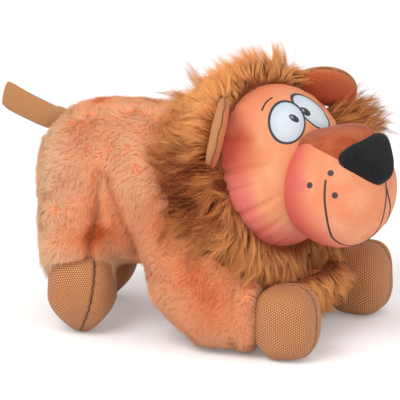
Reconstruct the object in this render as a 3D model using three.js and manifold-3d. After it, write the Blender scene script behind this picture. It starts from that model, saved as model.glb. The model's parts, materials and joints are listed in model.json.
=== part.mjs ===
// A stuffed plush lion, standing low on four paws: a fur body with sewn legs, sports-mesh paws,
// a long-pile mane, a padded mesh face with a muzzle, a bridge, a nose and two ears, and a soft
// strip of a tail. Millimetres, +X towards the head, +Y to the lion's left, +Z up, origin on the
// ground under the middle of its box. The forms are laid out from a cross line on the ground under
// the front paws, and moved to that origin at the end.
import * as THREE from "three";
import { mergeVertices } from "three/addons/utils/BufferGeometryUtils.js";
import Module from "manifold-3d";

const wasm = await Module();
wasm.setup();

// Clearances
const sewnGap = 0.3; // where two sewn pieces touch
const swingGap = 3.5; // round what swings on its seam, apart from the seam itself
const cutOverrun = 15; // how far a cutting block reaches past what it cuts
const soleDepth = 0.5; // how much of each paw the ground presses flat

// Torso, a shell of fur cloth round a filling
const torso = {
  length: 187,
  width: 114,
  height: 123,
  backHeight: 170, // of the top of the back above the ground
  chestReach: 34, // from the cross line back to the front of the chest
  rumpOffset: 5, // the rump sits this far to the lion's right
  wall: 3, // backing and roots of the pile
  neckWidth: 56, // the hole in the chest's hollow that the filling shows through
  fullness: 3.4,
  wideShares: [0.9, 1, 1, 0.98, 0.92], // of its width, from the rump to the chest
  tallShares: [0.99, 1.02, 1.01, 1, 0.96], // of its height
};

// Mane, a ball of long pile that nests in the hollow front of the torso and holds the face
const mane = {
  radius: 86,
  behindChest: 3.5, // from the front of the chest back to its middle
  rise: 21, // of its middle above the torso's middle
  wall: 25,
  rimReach: 2, // from its middle ahead to its flat front rim
};

// How the head is held, in degrees: turned to the lion's right, nose up, left side up
const headPose = { turn: 19, lift: 18, tilt: 3.5 };

// What the mane holds, placed ahead of and below the mane's middle
const face = { width: 130, tall: 121, depth: 42, wall: 2.4, tuck: 8, fullness: 2.05 };
const muzzle = { depth: 83, width: 95, tall: 90, reach: 52.5, drop: 24.5, fullness: 1.95 };
const bridge = { eyeReach: 22, pastNose: 2.5, drop: 1, width: 52, tall: 45, eyeShare: 0.62, fullness: 3 };
const nose = {
  thick: 22,
  width: 66,
  tall: 37,
  reach: 89,
  drop: 9,
  lean: 21, // of its top, back along the muzzle
  tipShare: 0.32,
  fullness: 3,
};

// Ears
const ear = {
  span: 54, // along the seam that holds it
  reach: 38,
  thick: 10,
  inset: { right: 15.5, left: 8 }, // from the mane's outside in to the middle of the seam
  fullness: 2.2,
};

// How the ears are held, in degrees: how far round the mane from the head's side, the tip's turn
// out from straight ahead, its lift, and the seam's lean in at its top. The left one flops ahead.
const earPose = {
  right: { clock: 36, turn: 30, lift: 21, lean: 35 },
  left: { clock: 26, turn: -11, lift: 25, lean: 47 },
};

// Mane hair under the chin, sewn to the chest between the front legs
const bib = { length: 92, width: 74, tall: 56, behindChest: 4, fullness: 2.2 };

const tail = {
  length: 49,
  tall: 22,
  thick: 12,
  rise: 17, // of its tip above its root
  seamDepth: 5, // from the rump's surface in to the seam
  seamWidth: 10, // of the round root that turns in the rump
  upShare: 0.68, // how high on the rump it is sewn, of the half height there
  fullness: 5,
};

// Legs and paws. Wide is across the lion, and tall is across the stuffed sleeve in side view.
const frontLeg = {
  behindChest: 66, // from the front of the chest back to the pivot
  inset: 9, // from the torso's side in to the pivot
  drop: 33, // from the torso's middle down to the pivot
  root: { wide: 46, tall: 74 },
  elbow: { wide: 54, tall: 80 },
  wrist: { wide: 52, tall: 61 },
  elbowShare: 0.45, // of the way from the pivot to the wrist
  elbowOut: 5,
  elbowDrop: 13,
  behindPaw: 35, // from the paw's middle back to the wrist
  cuff: 17, // from the wrist on into the paw
  fullness: 2.4,
};
const frontPaw = { side: 61, length: 48, wide: 46, tall: 56, stagger: 18, fullness: 2.6 };
const rearLeg = {
  rumpGap: 41, // from the rump's end ahead to the pivot
  inset: 19,
  drop: 10,
  root: { wide: 46, tall: 64 },
  knee: { wide: 48, tall: 56 },
  ankle: { wide: 44, tall: 46 },
  kneeShare: 0.45, // of the way from the pivot to the ankle
  kneeBack: 7,
  ankleShare: 0.68, // of the paw's height
  fullness: 2.4,
};
const rearPaw = {
  rumpGap: 40, // from the rump's end ahead to its middle
  side: 42,
  tall: 63,
  wide: 47,
  deep: 50,
  stagger: 11,
  tipShare: 0.9,
  fullness: 2.6,
};

// The round seam on each leg's inner side, which the leg turns on inside the torso
const hub = { width: 40, depth: 14, proud: 3 };

// How far each piece swings on its seam, in degrees
const frontSwing = [-8, 14];
const rearSwing = [-12, 12];
const tailWag = [-35, 35];
const earFold = [-14, 24];
const swingSteps = { mane: 2, leg: 1, tail: 2, ear: 2 }; // between the copies that a sweep is made of

// Squeaker: a bellows disc with a reed in its mouth, in a pocket of the filling
const squeaker = {
  width: 34,
  tall: 18,
  wall: 1.2,
  behindMane: 2, // from the torso's hollow for the mane back to the pocket
  overLegs: 1, // from the rear legs' sockets up to its underside
  shoulderShare: 0.7,
  waistShare: 0.3,
};
const reed = { width: 9, bore: 4, length: 9, rimWidth: 13, rimTall: 1.2 };
const pocketGap = 0.5;

// Facets round and along a form
const coarse = { sides: 10, rings: 8 };
const medium = { sides: 12, rings: 9 };
const fine = { sides: 20, rings: 13 };

const up = new THREE.Vector3(0, 0, 1);
const left = new THREE.Vector3(0, 1, 0);
const at = (x, y, z) => new THREE.Vector3(x, y, z);
const radians = THREE.MathUtils.degToRad;

// Solids from geometries and back

function solidOf(geometry) {
  const bare = geometry.clone();
  bare.deleteAttribute("normal");
  bare.deleteAttribute("uv");
  const merged = mergeVertices(bare);
  return new wasm.Manifold(
    new wasm.Mesh({
      numProp: 3,
      vertProperties: new Float32Array(merged.attributes.position.array),
      triVerts: new Uint32Array(merged.index.array),
    }),
  );
}

function geometryOf(solid) {
  const mesh = solid.getMesh();
  const geometry = new THREE.BufferGeometry();
  geometry.setAttribute("position", new THREE.BufferAttribute(mesh.vertProperties, mesh.numProp));
  geometry.setIndex(new THREE.BufferAttribute(mesh.triVerts, 1));
  geometry.computeVertexNormals();
  return geometry;
}

// A smooth value at a share from 0 to 1 of the way along a list of values.
function valueAlong(values, share) {
  const curve = new THREE.SplineCurve(values.map((value, i) => new THREE.Vector2(i, value)));
  return curve.getPoint(share).y;
}

// The girth of a form with that fullness, as a share of its greatest, at -1 to 1 of its half length.
const girthShare = (place, fullness) =>
  Math.pow(Math.max(0, 1 - Math.pow(Math.abs(place), fullness)), 1 / fullness);

// A stuffed sleeve: a sphere stretched along a path, round at both ends, that swells and tapers
// through its stations. grow widens it all round, for a cut with clearance.
function stuffed({ path, wide, tall, fullness, detail }, grow = 0) {
  const line = new THREE.CatmullRomCurve3(path);
  const form = new THREE.SphereGeometry(1, detail.sides, detail.rings);
  const spots = form.attributes.position;
  for (let i = 0; i < spots.count; i++) {
    const place = -spots.getY(i);
    const share = (1 + place) / 2;
    const angle = Math.atan2(spots.getZ(i), spots.getX(i));
    const heading = line.getTangent(share);
    const side = left.clone().addScaledVector(heading, -left.dot(heading)).normalize();
    const rise = new THREE.Vector3().crossVectors(heading, side);
    const girth = girthShare(place, fullness);
    const spot = line
      .getPoint(share)
      .addScaledVector(heading, place * grow)
      .addScaledVector(side, Math.cos(angle) * girth * (valueAlong(wide, share) / 2 + grow))
      .addScaledVector(rise, Math.sin(angle) * girth * (valueAlong(tall, share) / 2 + grow));
    spots.setXYZ(i, spot.x, spot.y, spot.z);
  }
  return solidOf(form);
}

// A padded form about a middle, squarer as its fullness rises. tipShare narrows it towards its lowest point.
function padded({ size, middle, fullness, detail = medium, tipShare = 1 }, grow = 0) {
  const form = new THREE.SphereGeometry(1, detail.sides, detail.rings).rotateZ(Math.PI / 2);
  const spots = form.attributes.position;
  const spot = new THREE.Vector3();
  for (let i = 0; i < spots.count; i++) {
    spot.fromBufferAttribute(spots, i);
    const sum = spot.toArray().reduce((total, part) => total + Math.pow(Math.abs(part), fullness), 0);
    spot.multiplyScalar(Math.pow(sum, -1 / fullness));
    const narrowing = THREE.MathUtils.lerp(tipShare, 1, (1 + spot.z) / 2);
    spot.x *= size.x / 2 + grow;
    spot.y *= (size.y / 2 + grow) * narrowing;
    spot.z *= size.z / 2 + grow;
    spot.add(middle);
    spots.setXYZ(i, spot.x, spot.y, spot.z);
  }
  return solidOf(form);
}

function block(lowest, highest) {
  const size = new THREE.Vector3().subVectors(highest, lowest);
  const middle = new THREE.Vector3().addVectors(lowest, highest).divideScalar(2);
  return solidOf(new THREE.BoxGeometry(size.x, size.y, size.z).translate(middle.x, middle.y, middle.z));
}

function ball(radius, middle, detail) {
  const form = new THREE.SphereGeometry(radius, detail.sides, detail.rings);
  return solidOf(form.translate(middle.x, middle.y, middle.z));
}

// How much larger a faceted ball must be for its faces, and not its corners, to lie at its radius.
const facetSpread = ({ sides, rings }) => 1 / (Math.cos(Math.PI / sides) * Math.cos(Math.PI / (2 * rings)));

// A solid turned about an axis through a pivot.
function turned(solid, pivot, axis, degrees) {
  const matrix = new THREE.Matrix4()
    .makeTranslation(pivot.x, pivot.y, pivot.z)
    .multiply(new THREE.Matrix4().makeRotationAxis(axis, radians(degrees)))
    .multiply(new THREE.Matrix4().makeTranslation(-pivot.x, -pivot.y, -pivot.z));
  return solid.transform(matrix.elements);
}

// All that a solid sweeps as it swings from one angle to another.
function swept(solid, pivot, axis, [low, high], steps) {
  const copies = Array.from({ length: steps + 1 }, (_, i) =>
    turned(solid, pivot, axis, THREE.MathUtils.lerp(low, high, i / steps)),
  );
  return copies.reduce((all, next) => all.add(next));
}

// The largest body of a cut solid. The slivers that a cut leaves are dropped.
const largest = (solid) =>
  solid.decompose().reduce((best, body) => (body.volume() > best.volume() ? body : best));

// Torso

const chest = -torso.chestReach;
const rump = chest - torso.length;
const torsoLevel = torso.backHeight - torso.height / 2;
const maneMiddle = at(chest - mane.behindChest, 0, torsoLevel + mane.rise);
const maneSeat = ball((mane.radius + sewnGap) * facetSpread(fine), maneMiddle, fine);

function torsoForm(inset, detail) {
  const path = torso.wideShares.map((_, i) => {
    const share = i / (torso.wideShares.length - 1);
    return at(
      THREE.MathUtils.lerp(rump + inset, chest - inset, share),
      -torso.rumpOffset * (1 - share),
      torsoLevel,
    );
  });
  return stuffed({
    path,
    wide: torso.wideShares.map((share) => share * torso.width - 2 * inset),
    tall: torso.tallShares.map((share) => share * torso.height - 2 * inset),
    fullness: torso.fullness,
    detail,
  });
}

// A seat round the mane, deeper in the torso than the mane's own by that much.
const deeperSeat = (depth) => ball((mane.radius + sewnGap + depth) * facetSpread(medium), maneMiddle, medium);

function torsoCover(sockets) {
  const hollow = torsoForm(torso.wall, coarse).subtract(deeperSeat(torso.wall));
  const neckReach = mane.radius + torso.wall + cutOverrun;
  const neckHole = solidOf(
    new THREE.CylinderGeometry(torso.neckWidth / 2, torso.neckWidth / 2, neckReach, medium.sides)
      .rotateZ(Math.PI / 2)
      .translate(maneMiddle.x - neckReach / 2, 0, maneMiddle.z),
  );
  return torsoForm(0, fine).subtract(maneSeat).subtract(hollow).subtract(neckHole).subtract(sockets);
}

function torsoFilling(sockets) {
  const depth = torso.wall + sewnGap;
  return torsoForm(depth, coarse).subtract(deeperSeat(depth)).subtract(sockets).subtract(pocket());
}

function chestMane(sockets) {
  const form = padded({
    size: at(bib.length, bib.width, bib.tall),
    middle: at(chest - bib.behindChest, 0, torso.backHeight - torso.height),
    fullness: bib.fullness,
  });
  return form.subtract(maneSeat).subtract(sockets).subtract(torsoForm(-sewnGap, fine));
}

// Legs and paws. hand is 1 on the lion's left and -1 on its right.

const frontPivot = (hand) =>
  at(chest - frontLeg.behindChest, hand * (torso.width / 2 - frontLeg.inset), torsoLevel - frontLeg.drop);

const rearPivot = (hand) =>
  at(
    rump + rearLeg.rumpGap,
    hand * (torso.width / 2 - rearLeg.inset) - torso.rumpOffset,
    torsoLevel - rearLeg.drop,
  );

function frontLegForm(hand, grow = 0) {
  const { root, elbow, wrist } = frontLeg;
  const pivot = frontPivot(hand);
  const wristSpot = at(
    (hand * frontPaw.stagger) / 2 - frontLeg.behindPaw,
    hand * frontPaw.side,
    wrist.tall / 2 - soleDepth,
  );
  const heading = new THREE.Vector3().subVectors(wristSpot, pivot).normalize();
  const elbowSpot = new THREE.Vector3()
    .lerpVectors(pivot, wristSpot, frontLeg.elbowShare)
    .add(at(0, hand * frontLeg.elbowOut, -frontLeg.elbowDrop));
  return stuffed(
    {
      path: [
        pivot.clone().addScaledVector(heading, -root.tall / 2),
        pivot,
        elbowSpot,
        wristSpot,
        wristSpot.clone().setX(wristSpot.x + frontLeg.cuff),
      ],
      wide: [root.wide, root.wide, elbow.wide, wrist.wide, wrist.wide],
      tall: [root.tall, root.tall, elbow.tall, wrist.tall, wrist.tall],
      fullness: frontLeg.fullness,
      detail: medium,
    },
    grow,
  );
}

function frontPawForm(hand) {
  const paw = frontPaw;
  const middle = at((hand * paw.stagger) / 2, hand * paw.side, paw.tall / 2 - soleDepth);
  return padded({ size: at(paw.length, paw.wide, paw.tall), middle, fullness: paw.fullness });
}

function rearPawMiddle(hand) {
  const paw = rearPaw;
  return at(
    rump + paw.rumpGap - (hand * paw.stagger) / 2,
    hand * paw.side - torso.rumpOffset,
    paw.tall / 2 - soleDepth,
  );
}

function rearLegForm(hand, grow = 0) {
  const { root, knee, ankle } = rearLeg;
  const pivot = rearPivot(hand);
  const ankleSpot = rearPawMiddle(hand).setZ(rearPaw.tall * rearLeg.ankleShare);
  const kneeSpot = new THREE.Vector3().lerpVectors(pivot, ankleSpot, rearLeg.kneeShare);
  kneeSpot.x -= rearLeg.kneeBack;
  return stuffed(
    {
      path: [
        pivot.clone().addScaledVector(up, root.tall / 2),
        pivot,
        kneeSpot,
        ankleSpot,
        ankleSpot.clone().addScaledVector(up, -ankle.tall / 2),
      ],
      wide: [root.wide, root.wide, knee.wide, ankle.wide, ankle.wide],
      tall: [root.tall, root.tall, knee.tall, ankle.tall, ankle.tall],
      fullness: rearLeg.fullness,
      detail: medium,
    },
    grow,
  );
}

function rearPawForm(hand) {
  const paw = rearPaw;
  const size = at(paw.deep, paw.wide, paw.tall);
  return padded({ size, middle: rearPawMiddle(hand), fullness: paw.fullness, tipShare: paw.tipShare });
}

function hubForm(kind, hand, clearance = 0) {
  const pivot = kind.pivot(hand);
  const spread = clearance > 0 ? facetSpread(medium) : 1;
  const across = (hub.width / 2) * spread + clearance;
  const through = (hub.depth / 2) * spread + clearance;
  const inward = kind.size.root.wide / 2 + hub.proud - hub.depth / 2;
  const form = new THREE.SphereGeometry(1, medium.sides, medium.rings).scale(across, through, across);
  return solidOf(form.translate(pivot.x, pivot.y - hand * inward, pivot.z));
}

const legKinds = {
  front: { size: frontLeg, form: frontLegForm, paw: frontPawForm, pivot: frontPivot, swing: frontSwing },
  rear: { size: rearLeg, form: rearLegForm, paw: rearPawForm, pivot: rearPivot, swing: rearSwing },
};
const hands = { right: -1, left: 1 };

// Head. Its own frame has x ahead, y to its left and z up, from the middle of the mane.

const headMatrix = new THREE.Matrix4()
  .makeRotationFromEuler(
    new THREE.Euler(radians(headPose.tilt), radians(-headPose.lift), radians(-headPose.turn), "ZYX"),
  )
  .setPosition(maneMiddle);
const headMiddle = at(0, 0, 0);

function faceForm(inset, detail) {
  const size = at(2 * (face.depth - inset), face.width - 2 * inset, face.tall - 2 * inset);
  return padded({ size, middle: headMiddle, fullness: face.fullness, detail });
}

function ahead(from) {
  const reach = mane.radius + cutOverrun;
  return block(at(from, -reach, -reach), at(reach, reach, reach));
}

function headPieces() {
  const facePanel = faceForm(0, fine).subtract(faceForm(face.wall, medium)).intersect(ahead(-face.tuck));
  const faceSeat = faceForm(-sewnGap, fine).intersect(ahead(-face.tuck - sewnGap));
  const hollowRadius = mane.radius - mane.wall;
  const maneShell = ball(mane.radius, headMiddle, fine)
    .subtract(ahead(mane.rimReach))
    .subtract(ball(hollowRadius, headMiddle, coarse))
    .subtract(faceSeat)
    .subtract(earSocket("right"))
    .subtract(earSocket("left"));
  const packing = ball(hollowRadius - sewnGap, headMiddle, coarse);
  const facePacking = packing.intersect(faceForm(face.wall + sewnGap, medium));

  const muzzleShape = {
    size: at(muzzle.depth, muzzle.width, muzzle.tall),
    middle: at(muzzle.reach, 0, -muzzle.drop),
    fullness: muzzle.fullness,
  };
  const muzzleSeat = padded(muzzleShape, sewnGap);
  const noseShape = {
    size: at(nose.thick, nose.width, nose.tall),
    middle: at(nose.reach, 0, -nose.drop),
    fullness: nose.fullness,
    tipShare: nose.tipShare,
  };
  const leaned = (solid) => turned(solid, noseShape.middle, left, -nose.lean);
  const bridgeEnd = nose.reach + bridge.pastNose;
  const bridgeReaches = [bridge.eyeReach, (bridge.eyeReach + bridgeEnd) / 2, bridgeEnd];
  const bridgeShape = {
    path: bridgeReaches.map((reach) => at(reach, 0, -bridge.drop)),
    wide: [bridge.width * bridge.eyeShare, bridge.width, bridge.width],
    tall: [bridge.tall, bridge.tall, bridge.tall],
    fullness: bridge.fullness,
    detail: medium,
  };
  const noseSeat = leaned(padded(noseShape, sewnGap));
  return {
    mane: maneShell,
    head_filling: packing.subtract(ahead(-face.tuck - sewnGap)).add(facePacking),
    face_panel: facePanel,
    muzzle: padded(muzzleShape).subtract(faceSeat),
    nose_bridge: stuffed(bridgeShape).subtract(faceSeat).subtract(muzzleSeat).subtract(noseSeat),
    nose: leaned(padded(noseShape)).subtract(muzzleSeat),
  };
}

// An ear's own frame has x out along the flap, y along the seam and z through its thickness.
function earMatrix(side) {
  const hand = hands[side];
  const { clock, turn, lift, lean } = Object.fromEntries(
    Object.entries(earPose[side]).map(([name, degrees]) => [name, radians(degrees)]),
  );
  const reach = mane.radius - ear.inset[side];
  const seam = at(0, hand * Math.cos(clock), Math.sin(clock)).multiplyScalar(reach);
  const out = at(Math.cos(turn) * Math.cos(lift), hand * Math.sin(turn) * Math.cos(lift), Math.sin(lift));
  const along = up.clone().addScaledVector(out, -up.dot(out)).normalize().applyAxisAngle(out, hand * lean);
  const through = new THREE.Vector3().crossVectors(out, along);
  return new THREE.Matrix4().makeBasis(out, along, through).setPosition(seam);
}

function earFlap(grow = 0, detail = medium) {
  const size = at(2 * ear.reach, ear.span, ear.thick);
  const outer = block(at(0, -ear.span, -2 * ear.thick), at(2 * ear.reach, ear.span, 2 * ear.thick));
  return padded({ size, middle: headMiddle, fullness: ear.fullness, detail }, grow).intersect(outer);
}

// The round welt on the seam, which the ear folds on.
function earWelt(clearance = 0) {
  const spread = clearance > 0 ? facetSpread(medium) : 1;
  const radius = (ear.thick / 2) * spread + clearance;
  const form = new THREE.SphereGeometry(1, medium.sides, medium.rings);
  return solidOf(form.scale(radius, (ear.span / 2) * spread + clearance, radius));
}

// An ear folds forwards about its seam, so the axis runs up on the right and down on the left.
const earAxis = (side) => left.clone().multiplyScalar(-hands[side]);

function earSocket(side) {
  const flaps = swept(earFlap(swingGap, coarse), headMiddle, earAxis(side), earFold, swingSteps.ear);
  return flaps.add(earWelt(sewnGap)).transform(earMatrix(side).elements);
}

// Tail

const rumpHalfHeight = (torso.tallShares[0] * torso.height) / 2;
const rumpShare = (1 - girthShare(tail.upShare, torso.fullness)) / 2;
const tailPivot = at(
  rump + rumpShare * torso.length + tail.seamDepth,
  -torso.rumpOffset,
  torsoLevel + tail.upShare * rumpHalfHeight,
);

function tailForm(grow = 0) {
  const tip = at(tailPivot.x - tail.length, tailPivot.y, tailPivot.z + tail.rise);
  return stuffed(
    {
      path: [tailPivot, new THREE.Vector3().lerpVectors(tailPivot, tip, 1 / 2), tip],
      wide: [tail.thick, tail.thick, tail.thick],
      tall: [tail.tall, tail.tall, tail.tall],
      fullness: tail.fullness,
      detail: coarse,
    },
    grow,
  );
}

function tailRoot(clearance = 0) {
  const spread = clearance > 0 ? facetSpread(coarse) : 1;
  const radius = (tail.seamWidth / 2) * spread + clearance;
  const form = new THREE.CylinderGeometry(radius, radius, tail.tall + 2 * clearance, coarse.sides);
  return solidOf(form.rotateX(Math.PI / 2).translate(tailPivot.x, tailPivot.y, tailPivot.z));
}

// Squeaker, on an upright axis in the torso, behind the mane and over the rear legs' roots

const squeakerSpot = at(
  maneMiddle.x - mane.radius - torso.wall - squeaker.behindMane - pocketGap - squeaker.width / 2,
  0,
  rearPivot(hands.left).z + rearLeg.root.tall / 2 + swingGap + squeaker.overLegs + squeaker.tall / 2,
);

// A closed outline of radius and height, turned about the squeaker's axis.
function lathed(outline) {
  const points = outline.map(([radius, height]) => new THREE.Vector2(radius, height)).reverse();
  const form = new THREE.LatheGeometry(points, medium.sides).rotateX(Math.PI / 2);
  return solidOf(form.translate(squeakerSpot.x, squeakerSpot.y, squeakerSpot.z));
}

function bellows() {
  const { wall, shoulderShare, waistShare } = squeaker;
  const side = squeaker.width / 2;
  const shoulder = side * shoulderShare;
  const top = squeaker.tall / 2;
  const waist = top * waistShare;
  const mouth = reed.width / 2 + sewnGap;
  return lathed([
    [mouth, top],
    [shoulder, top],
    [side, waist],
    [side, -waist],
    [shoulder, -top],
    [0, -top],
    [0, wall - top],
    [shoulder - wall, wall - top],
    [side - wall, -waist],
    [side - wall, waist],
    [shoulder - wall, top - wall],
    [mouth, top - wall],
    [mouth, top],
  ]);
}

function reedTube() {
  const rimFoot = squeaker.tall / 2 + sewnGap;
  const bore = reed.bore / 2;
  return lathed([
    [bore, rimFoot + reed.rimTall],
    [reed.rimWidth / 2, rimFoot + reed.rimTall],
    [reed.rimWidth / 2, rimFoot],
    [reed.width / 2, rimFoot],
    [reed.width / 2, rimFoot - reed.length],
    [bore, rimFoot - reed.length],
    [bore, rimFoot + reed.rimTall],
  ]);
}

// The pocket, with the shaft below it that the squeaker went in by.
function pocket() {
  const radius = squeaker.width / 2 + pocketGap;
  const top = squeakerSpot.z + squeaker.tall / 2 + sewnGap + reed.rimTall + pocketGap;
  const shaft = new THREE.CylinderGeometry(radius, radius, top, medium.sides).rotateX(Math.PI / 2);
  return solidOf(shaft.translate(squeakerSpot.x, squeakerSpot.y, top / 2));
}

// Assembly

const looks = {
  fur: { color: 0xf0a27c, roughness: 0.95 },
  long_pile: { color: 0xb8743c, roughness: 0.95 },
  face_mesh: { color: 0xee9059, roughness: 0.7 },
  brown_mesh: { color: 0xbd7c4c, roughness: 0.75 },
  brown_plush: { color: 0xa85a34, roughness: 0.95 },
  black_fleece: { color: 0x2a2b2e, roughness: 0.95 },
  filling: { color: 0xf4f2ec, roughness: 1 },
  squeaker_plastic: { color: 0xe9e9e4, roughness: 0.4 },
};

const group = new THREE.Group();
const hinges = {
  head_turn: { pivot: maneMiddle, axis: up },
  tail_wag: { pivot: tailPivot, axis: up },
};

function place(name, solid, look, matrix = new THREE.Matrix4()) {
  const mesh = new THREE.Mesh(geometryOf(largest(solid)), new THREE.MeshStandardMaterial(looks[look]));
  mesh.name = name;
  mesh.applyMatrix4(matrix);
  group.add(mesh);
}

const ground = block(
  at(rump - tail.length - cutOverrun, -torso.length, -cutOverrun),
  at(torso.length, torso.length, 0),
);

let sockets = swept(tailForm(swingGap), tailPivot, up, tailWag, swingSteps.tail).add(tailRoot(sewnGap));
for (const [end, kind] of Object.entries(legKinds)) {
  for (const [side, hand] of Object.entries(hands)) {
    const pivot = kind.pivot(hand);
    // As the leg swings the mane comes nearer to it, so all that the mane would sweep is cut from the leg.
    const maneSwing = kind.swing.map((angle) => -angle);
    const maneSweep = swept(maneSeat, pivot, left, maneSwing, swingSteps.mane);
    const leg = kind.form(hand).add(hubForm(kind, hand)).subtract(maneSweep).subtract(ground);
    const paw = kind.paw(hand).subtract(kind.form(hand, sewnGap)).subtract(maneSweep).subtract(ground);
    place(`${end}_${side}_leg`, leg, "fur");
    place(`${end}_${side}_paw`, paw, "brown_mesh");
    sockets = sockets.add(swept(kind.form(hand, swingGap), pivot, left, kind.swing, swingSteps.leg));
    sockets = sockets.add(hubForm(kind, hand, sewnGap));
    hinges[`${end}_${side}_swing`] = { pivot, axis: left };
  }
}

place("torso_cover", torsoCover(sockets), "fur");
place("torso_filling", torsoFilling(sockets), "filling");
place("chest_mane", chestMane(sockets), "long_pile");
place("tail", tailForm().add(tailRoot()), "brown_mesh");
place("squeaker_bellows", bellows(), "squeaker_plastic");
place("squeaker_reed", reedTube(), "squeaker_plastic");

const headLooks = {
  mane: "long_pile",
  head_filling: "filling",
  face_panel: "face_mesh",
  muzzle: "face_mesh",
  nose_bridge: "brown_plush",
  nose: "black_fleece",
};
for (const [name, solid] of Object.entries(headPieces())) {
  place(name, solid, headLooks[name], headMatrix);
}
for (const side of Object.keys(hands)) {
  const matrix = new THREE.Matrix4().multiplyMatrices(headMatrix, earMatrix(side));
  place(`${side}_ear`, earFlap().add(earWelt()), "brown_mesh", matrix);
  hinges[`${side}_ear_fold`] = {
    pivot: new THREE.Vector3().setFromMatrixPosition(matrix),
    axis: earAxis(side).transformDirection(matrix),
  };
}

// The origin moves to the ground under the middle of the box, and the seams that pieces swing on
// move with it.
group.updateMatrixWorld(true);
const box = new THREE.Box3().setFromObject(group, true);
const origin = box.getCenter(new THREE.Vector3()).setZ(box.min.z);
group.position.sub(origin);
group.userData.hinges = Object.fromEntries(
  Object.entries(hinges).map(([name, { pivot, axis }]) => [
    name,
    { pivot: pivot.clone().sub(origin).toArray(), axis: axis.toArray() },
  ]),
);

export default group;
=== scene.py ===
"""A stuffed plush lion: short pile on the body and legs, a long-pile mane, and a face, paws and ears of mesh.

Metres, in the row frame. Sizes on the head are in mm, in the head's own frame: ahead, to its left, up.
"""
import json
import math

import bmesh
import bpy
import numpy as np
from mathutils import Euler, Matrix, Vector, noise
from mathutils.bvhtree import BVHTree
from mathutils.kdtree import KDTree


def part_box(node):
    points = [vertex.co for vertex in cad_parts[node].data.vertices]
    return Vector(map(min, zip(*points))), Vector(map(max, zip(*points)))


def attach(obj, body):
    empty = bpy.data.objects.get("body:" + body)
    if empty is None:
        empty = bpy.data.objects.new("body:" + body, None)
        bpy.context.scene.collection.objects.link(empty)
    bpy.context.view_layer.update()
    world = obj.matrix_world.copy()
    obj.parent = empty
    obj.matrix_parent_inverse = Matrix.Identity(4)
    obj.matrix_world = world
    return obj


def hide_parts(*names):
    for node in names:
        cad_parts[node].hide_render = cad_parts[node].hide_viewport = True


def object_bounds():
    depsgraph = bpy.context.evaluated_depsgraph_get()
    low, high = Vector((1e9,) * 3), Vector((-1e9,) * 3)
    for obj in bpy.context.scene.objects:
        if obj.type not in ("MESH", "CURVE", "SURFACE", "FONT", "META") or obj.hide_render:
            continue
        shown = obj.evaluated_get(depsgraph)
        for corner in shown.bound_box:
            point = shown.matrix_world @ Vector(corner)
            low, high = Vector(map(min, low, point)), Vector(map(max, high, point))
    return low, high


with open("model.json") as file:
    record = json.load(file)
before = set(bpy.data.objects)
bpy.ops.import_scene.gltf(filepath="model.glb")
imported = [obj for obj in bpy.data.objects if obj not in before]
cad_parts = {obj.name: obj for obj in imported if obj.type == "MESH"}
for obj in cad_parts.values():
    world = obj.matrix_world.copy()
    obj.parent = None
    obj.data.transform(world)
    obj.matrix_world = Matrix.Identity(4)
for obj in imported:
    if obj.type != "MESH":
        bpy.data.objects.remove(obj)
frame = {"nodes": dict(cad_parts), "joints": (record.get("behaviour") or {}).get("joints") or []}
CAD_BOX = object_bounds()

MM = 0.001
LEGS = ("front_right", "front_left", "rear_right", "rear_left")

# Head
JOINTS = {joint["name"]: joint for joint in frame["joints"]}
HEAD_MIDDLE = np.array(JOINTS["head_turn"]["pos_m"])
HEAD_TURN, HEAD_LIFT, HEAD_TILT = 19, 18, 3.5  # degrees
MANE_RADIUS = 74 * MM  # of the cloth under the hair
FACE = {"half": (42, 65, 60.5), "fullness": 2.05, "tuck": 6.5}
MUZZLE = {"half": (41.5, 47.5, 45), "middle": (52.5, 0, -24.5), "fullness": 1.95}
NOSE = {"half": (11, 33, 18.5), "middle": (89, 0, -9), "fullness": 3, "lean": 21, "tip_share": 0.32}
BRIDGE = {"half": (34.5, 26, 22.5), "middle": (56.5, 0, -1), "fullness": 3, "eye_share": 0.62}
EAR = {"half": (38, 27, 5.2), "fullness": 3.4, "turn": {"right": 17, "left": -6}}

# Camera
PHOTO_AZIMUTH, PHOTO_ELEVATION = 18, 17.5  # degrees
CAMERA_DISTANCE = 12
VIEW_WIDTH = 0.3
AIM_ASIDE, AIM_UP = -57.4 * MM, -26.1 * MM  # from the middle of the head
SENSOR_WIDTH = 36  # mm


# Materials


def linear(red, green, blue):
    """A colour of 0 to 255 as Blender's linear colour."""
    shares = [part / 255 for part in (red, green, blue)]
    return tuple(s / 12.92 if s <= 0.04045 else ((s + 0.055) / 1.055) ** 2.4 for s in shares) + (1,)


class Value:
    """A number in a material, whose sums become Math nodes."""

    def __init__(self, paint, socket):
        self.paint = paint
        self.socket = socket

    def math(self, operation, *others):
        settings = {"operation": operation}
        sockets = [self] + list(others)
        return self.paint.node("ShaderNodeMath", settings, *sockets)

    def __add__(self, other):
        return self.math("ADD", other)

    def __sub__(self, other):
        return self.math("SUBTRACT", other)

    def __rsub__(self, other):
        return (self * -1) + other

    def __mul__(self, other):
        return self.math("MULTIPLY", other)

    def __truediv__(self, other):
        return self.math("DIVIDE", other)

    __radd__ = __add__
    __rmul__ = __mul__

    def between(self, low, high):
        """0 at low or less, 1 at high or more, and smooth between them."""
        settings = {"interpolation_type": "SMOOTHSTEP"}
        return self.paint.node("ShaderNodeMapRange", settings, self, low, high, 0, 1)


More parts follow.
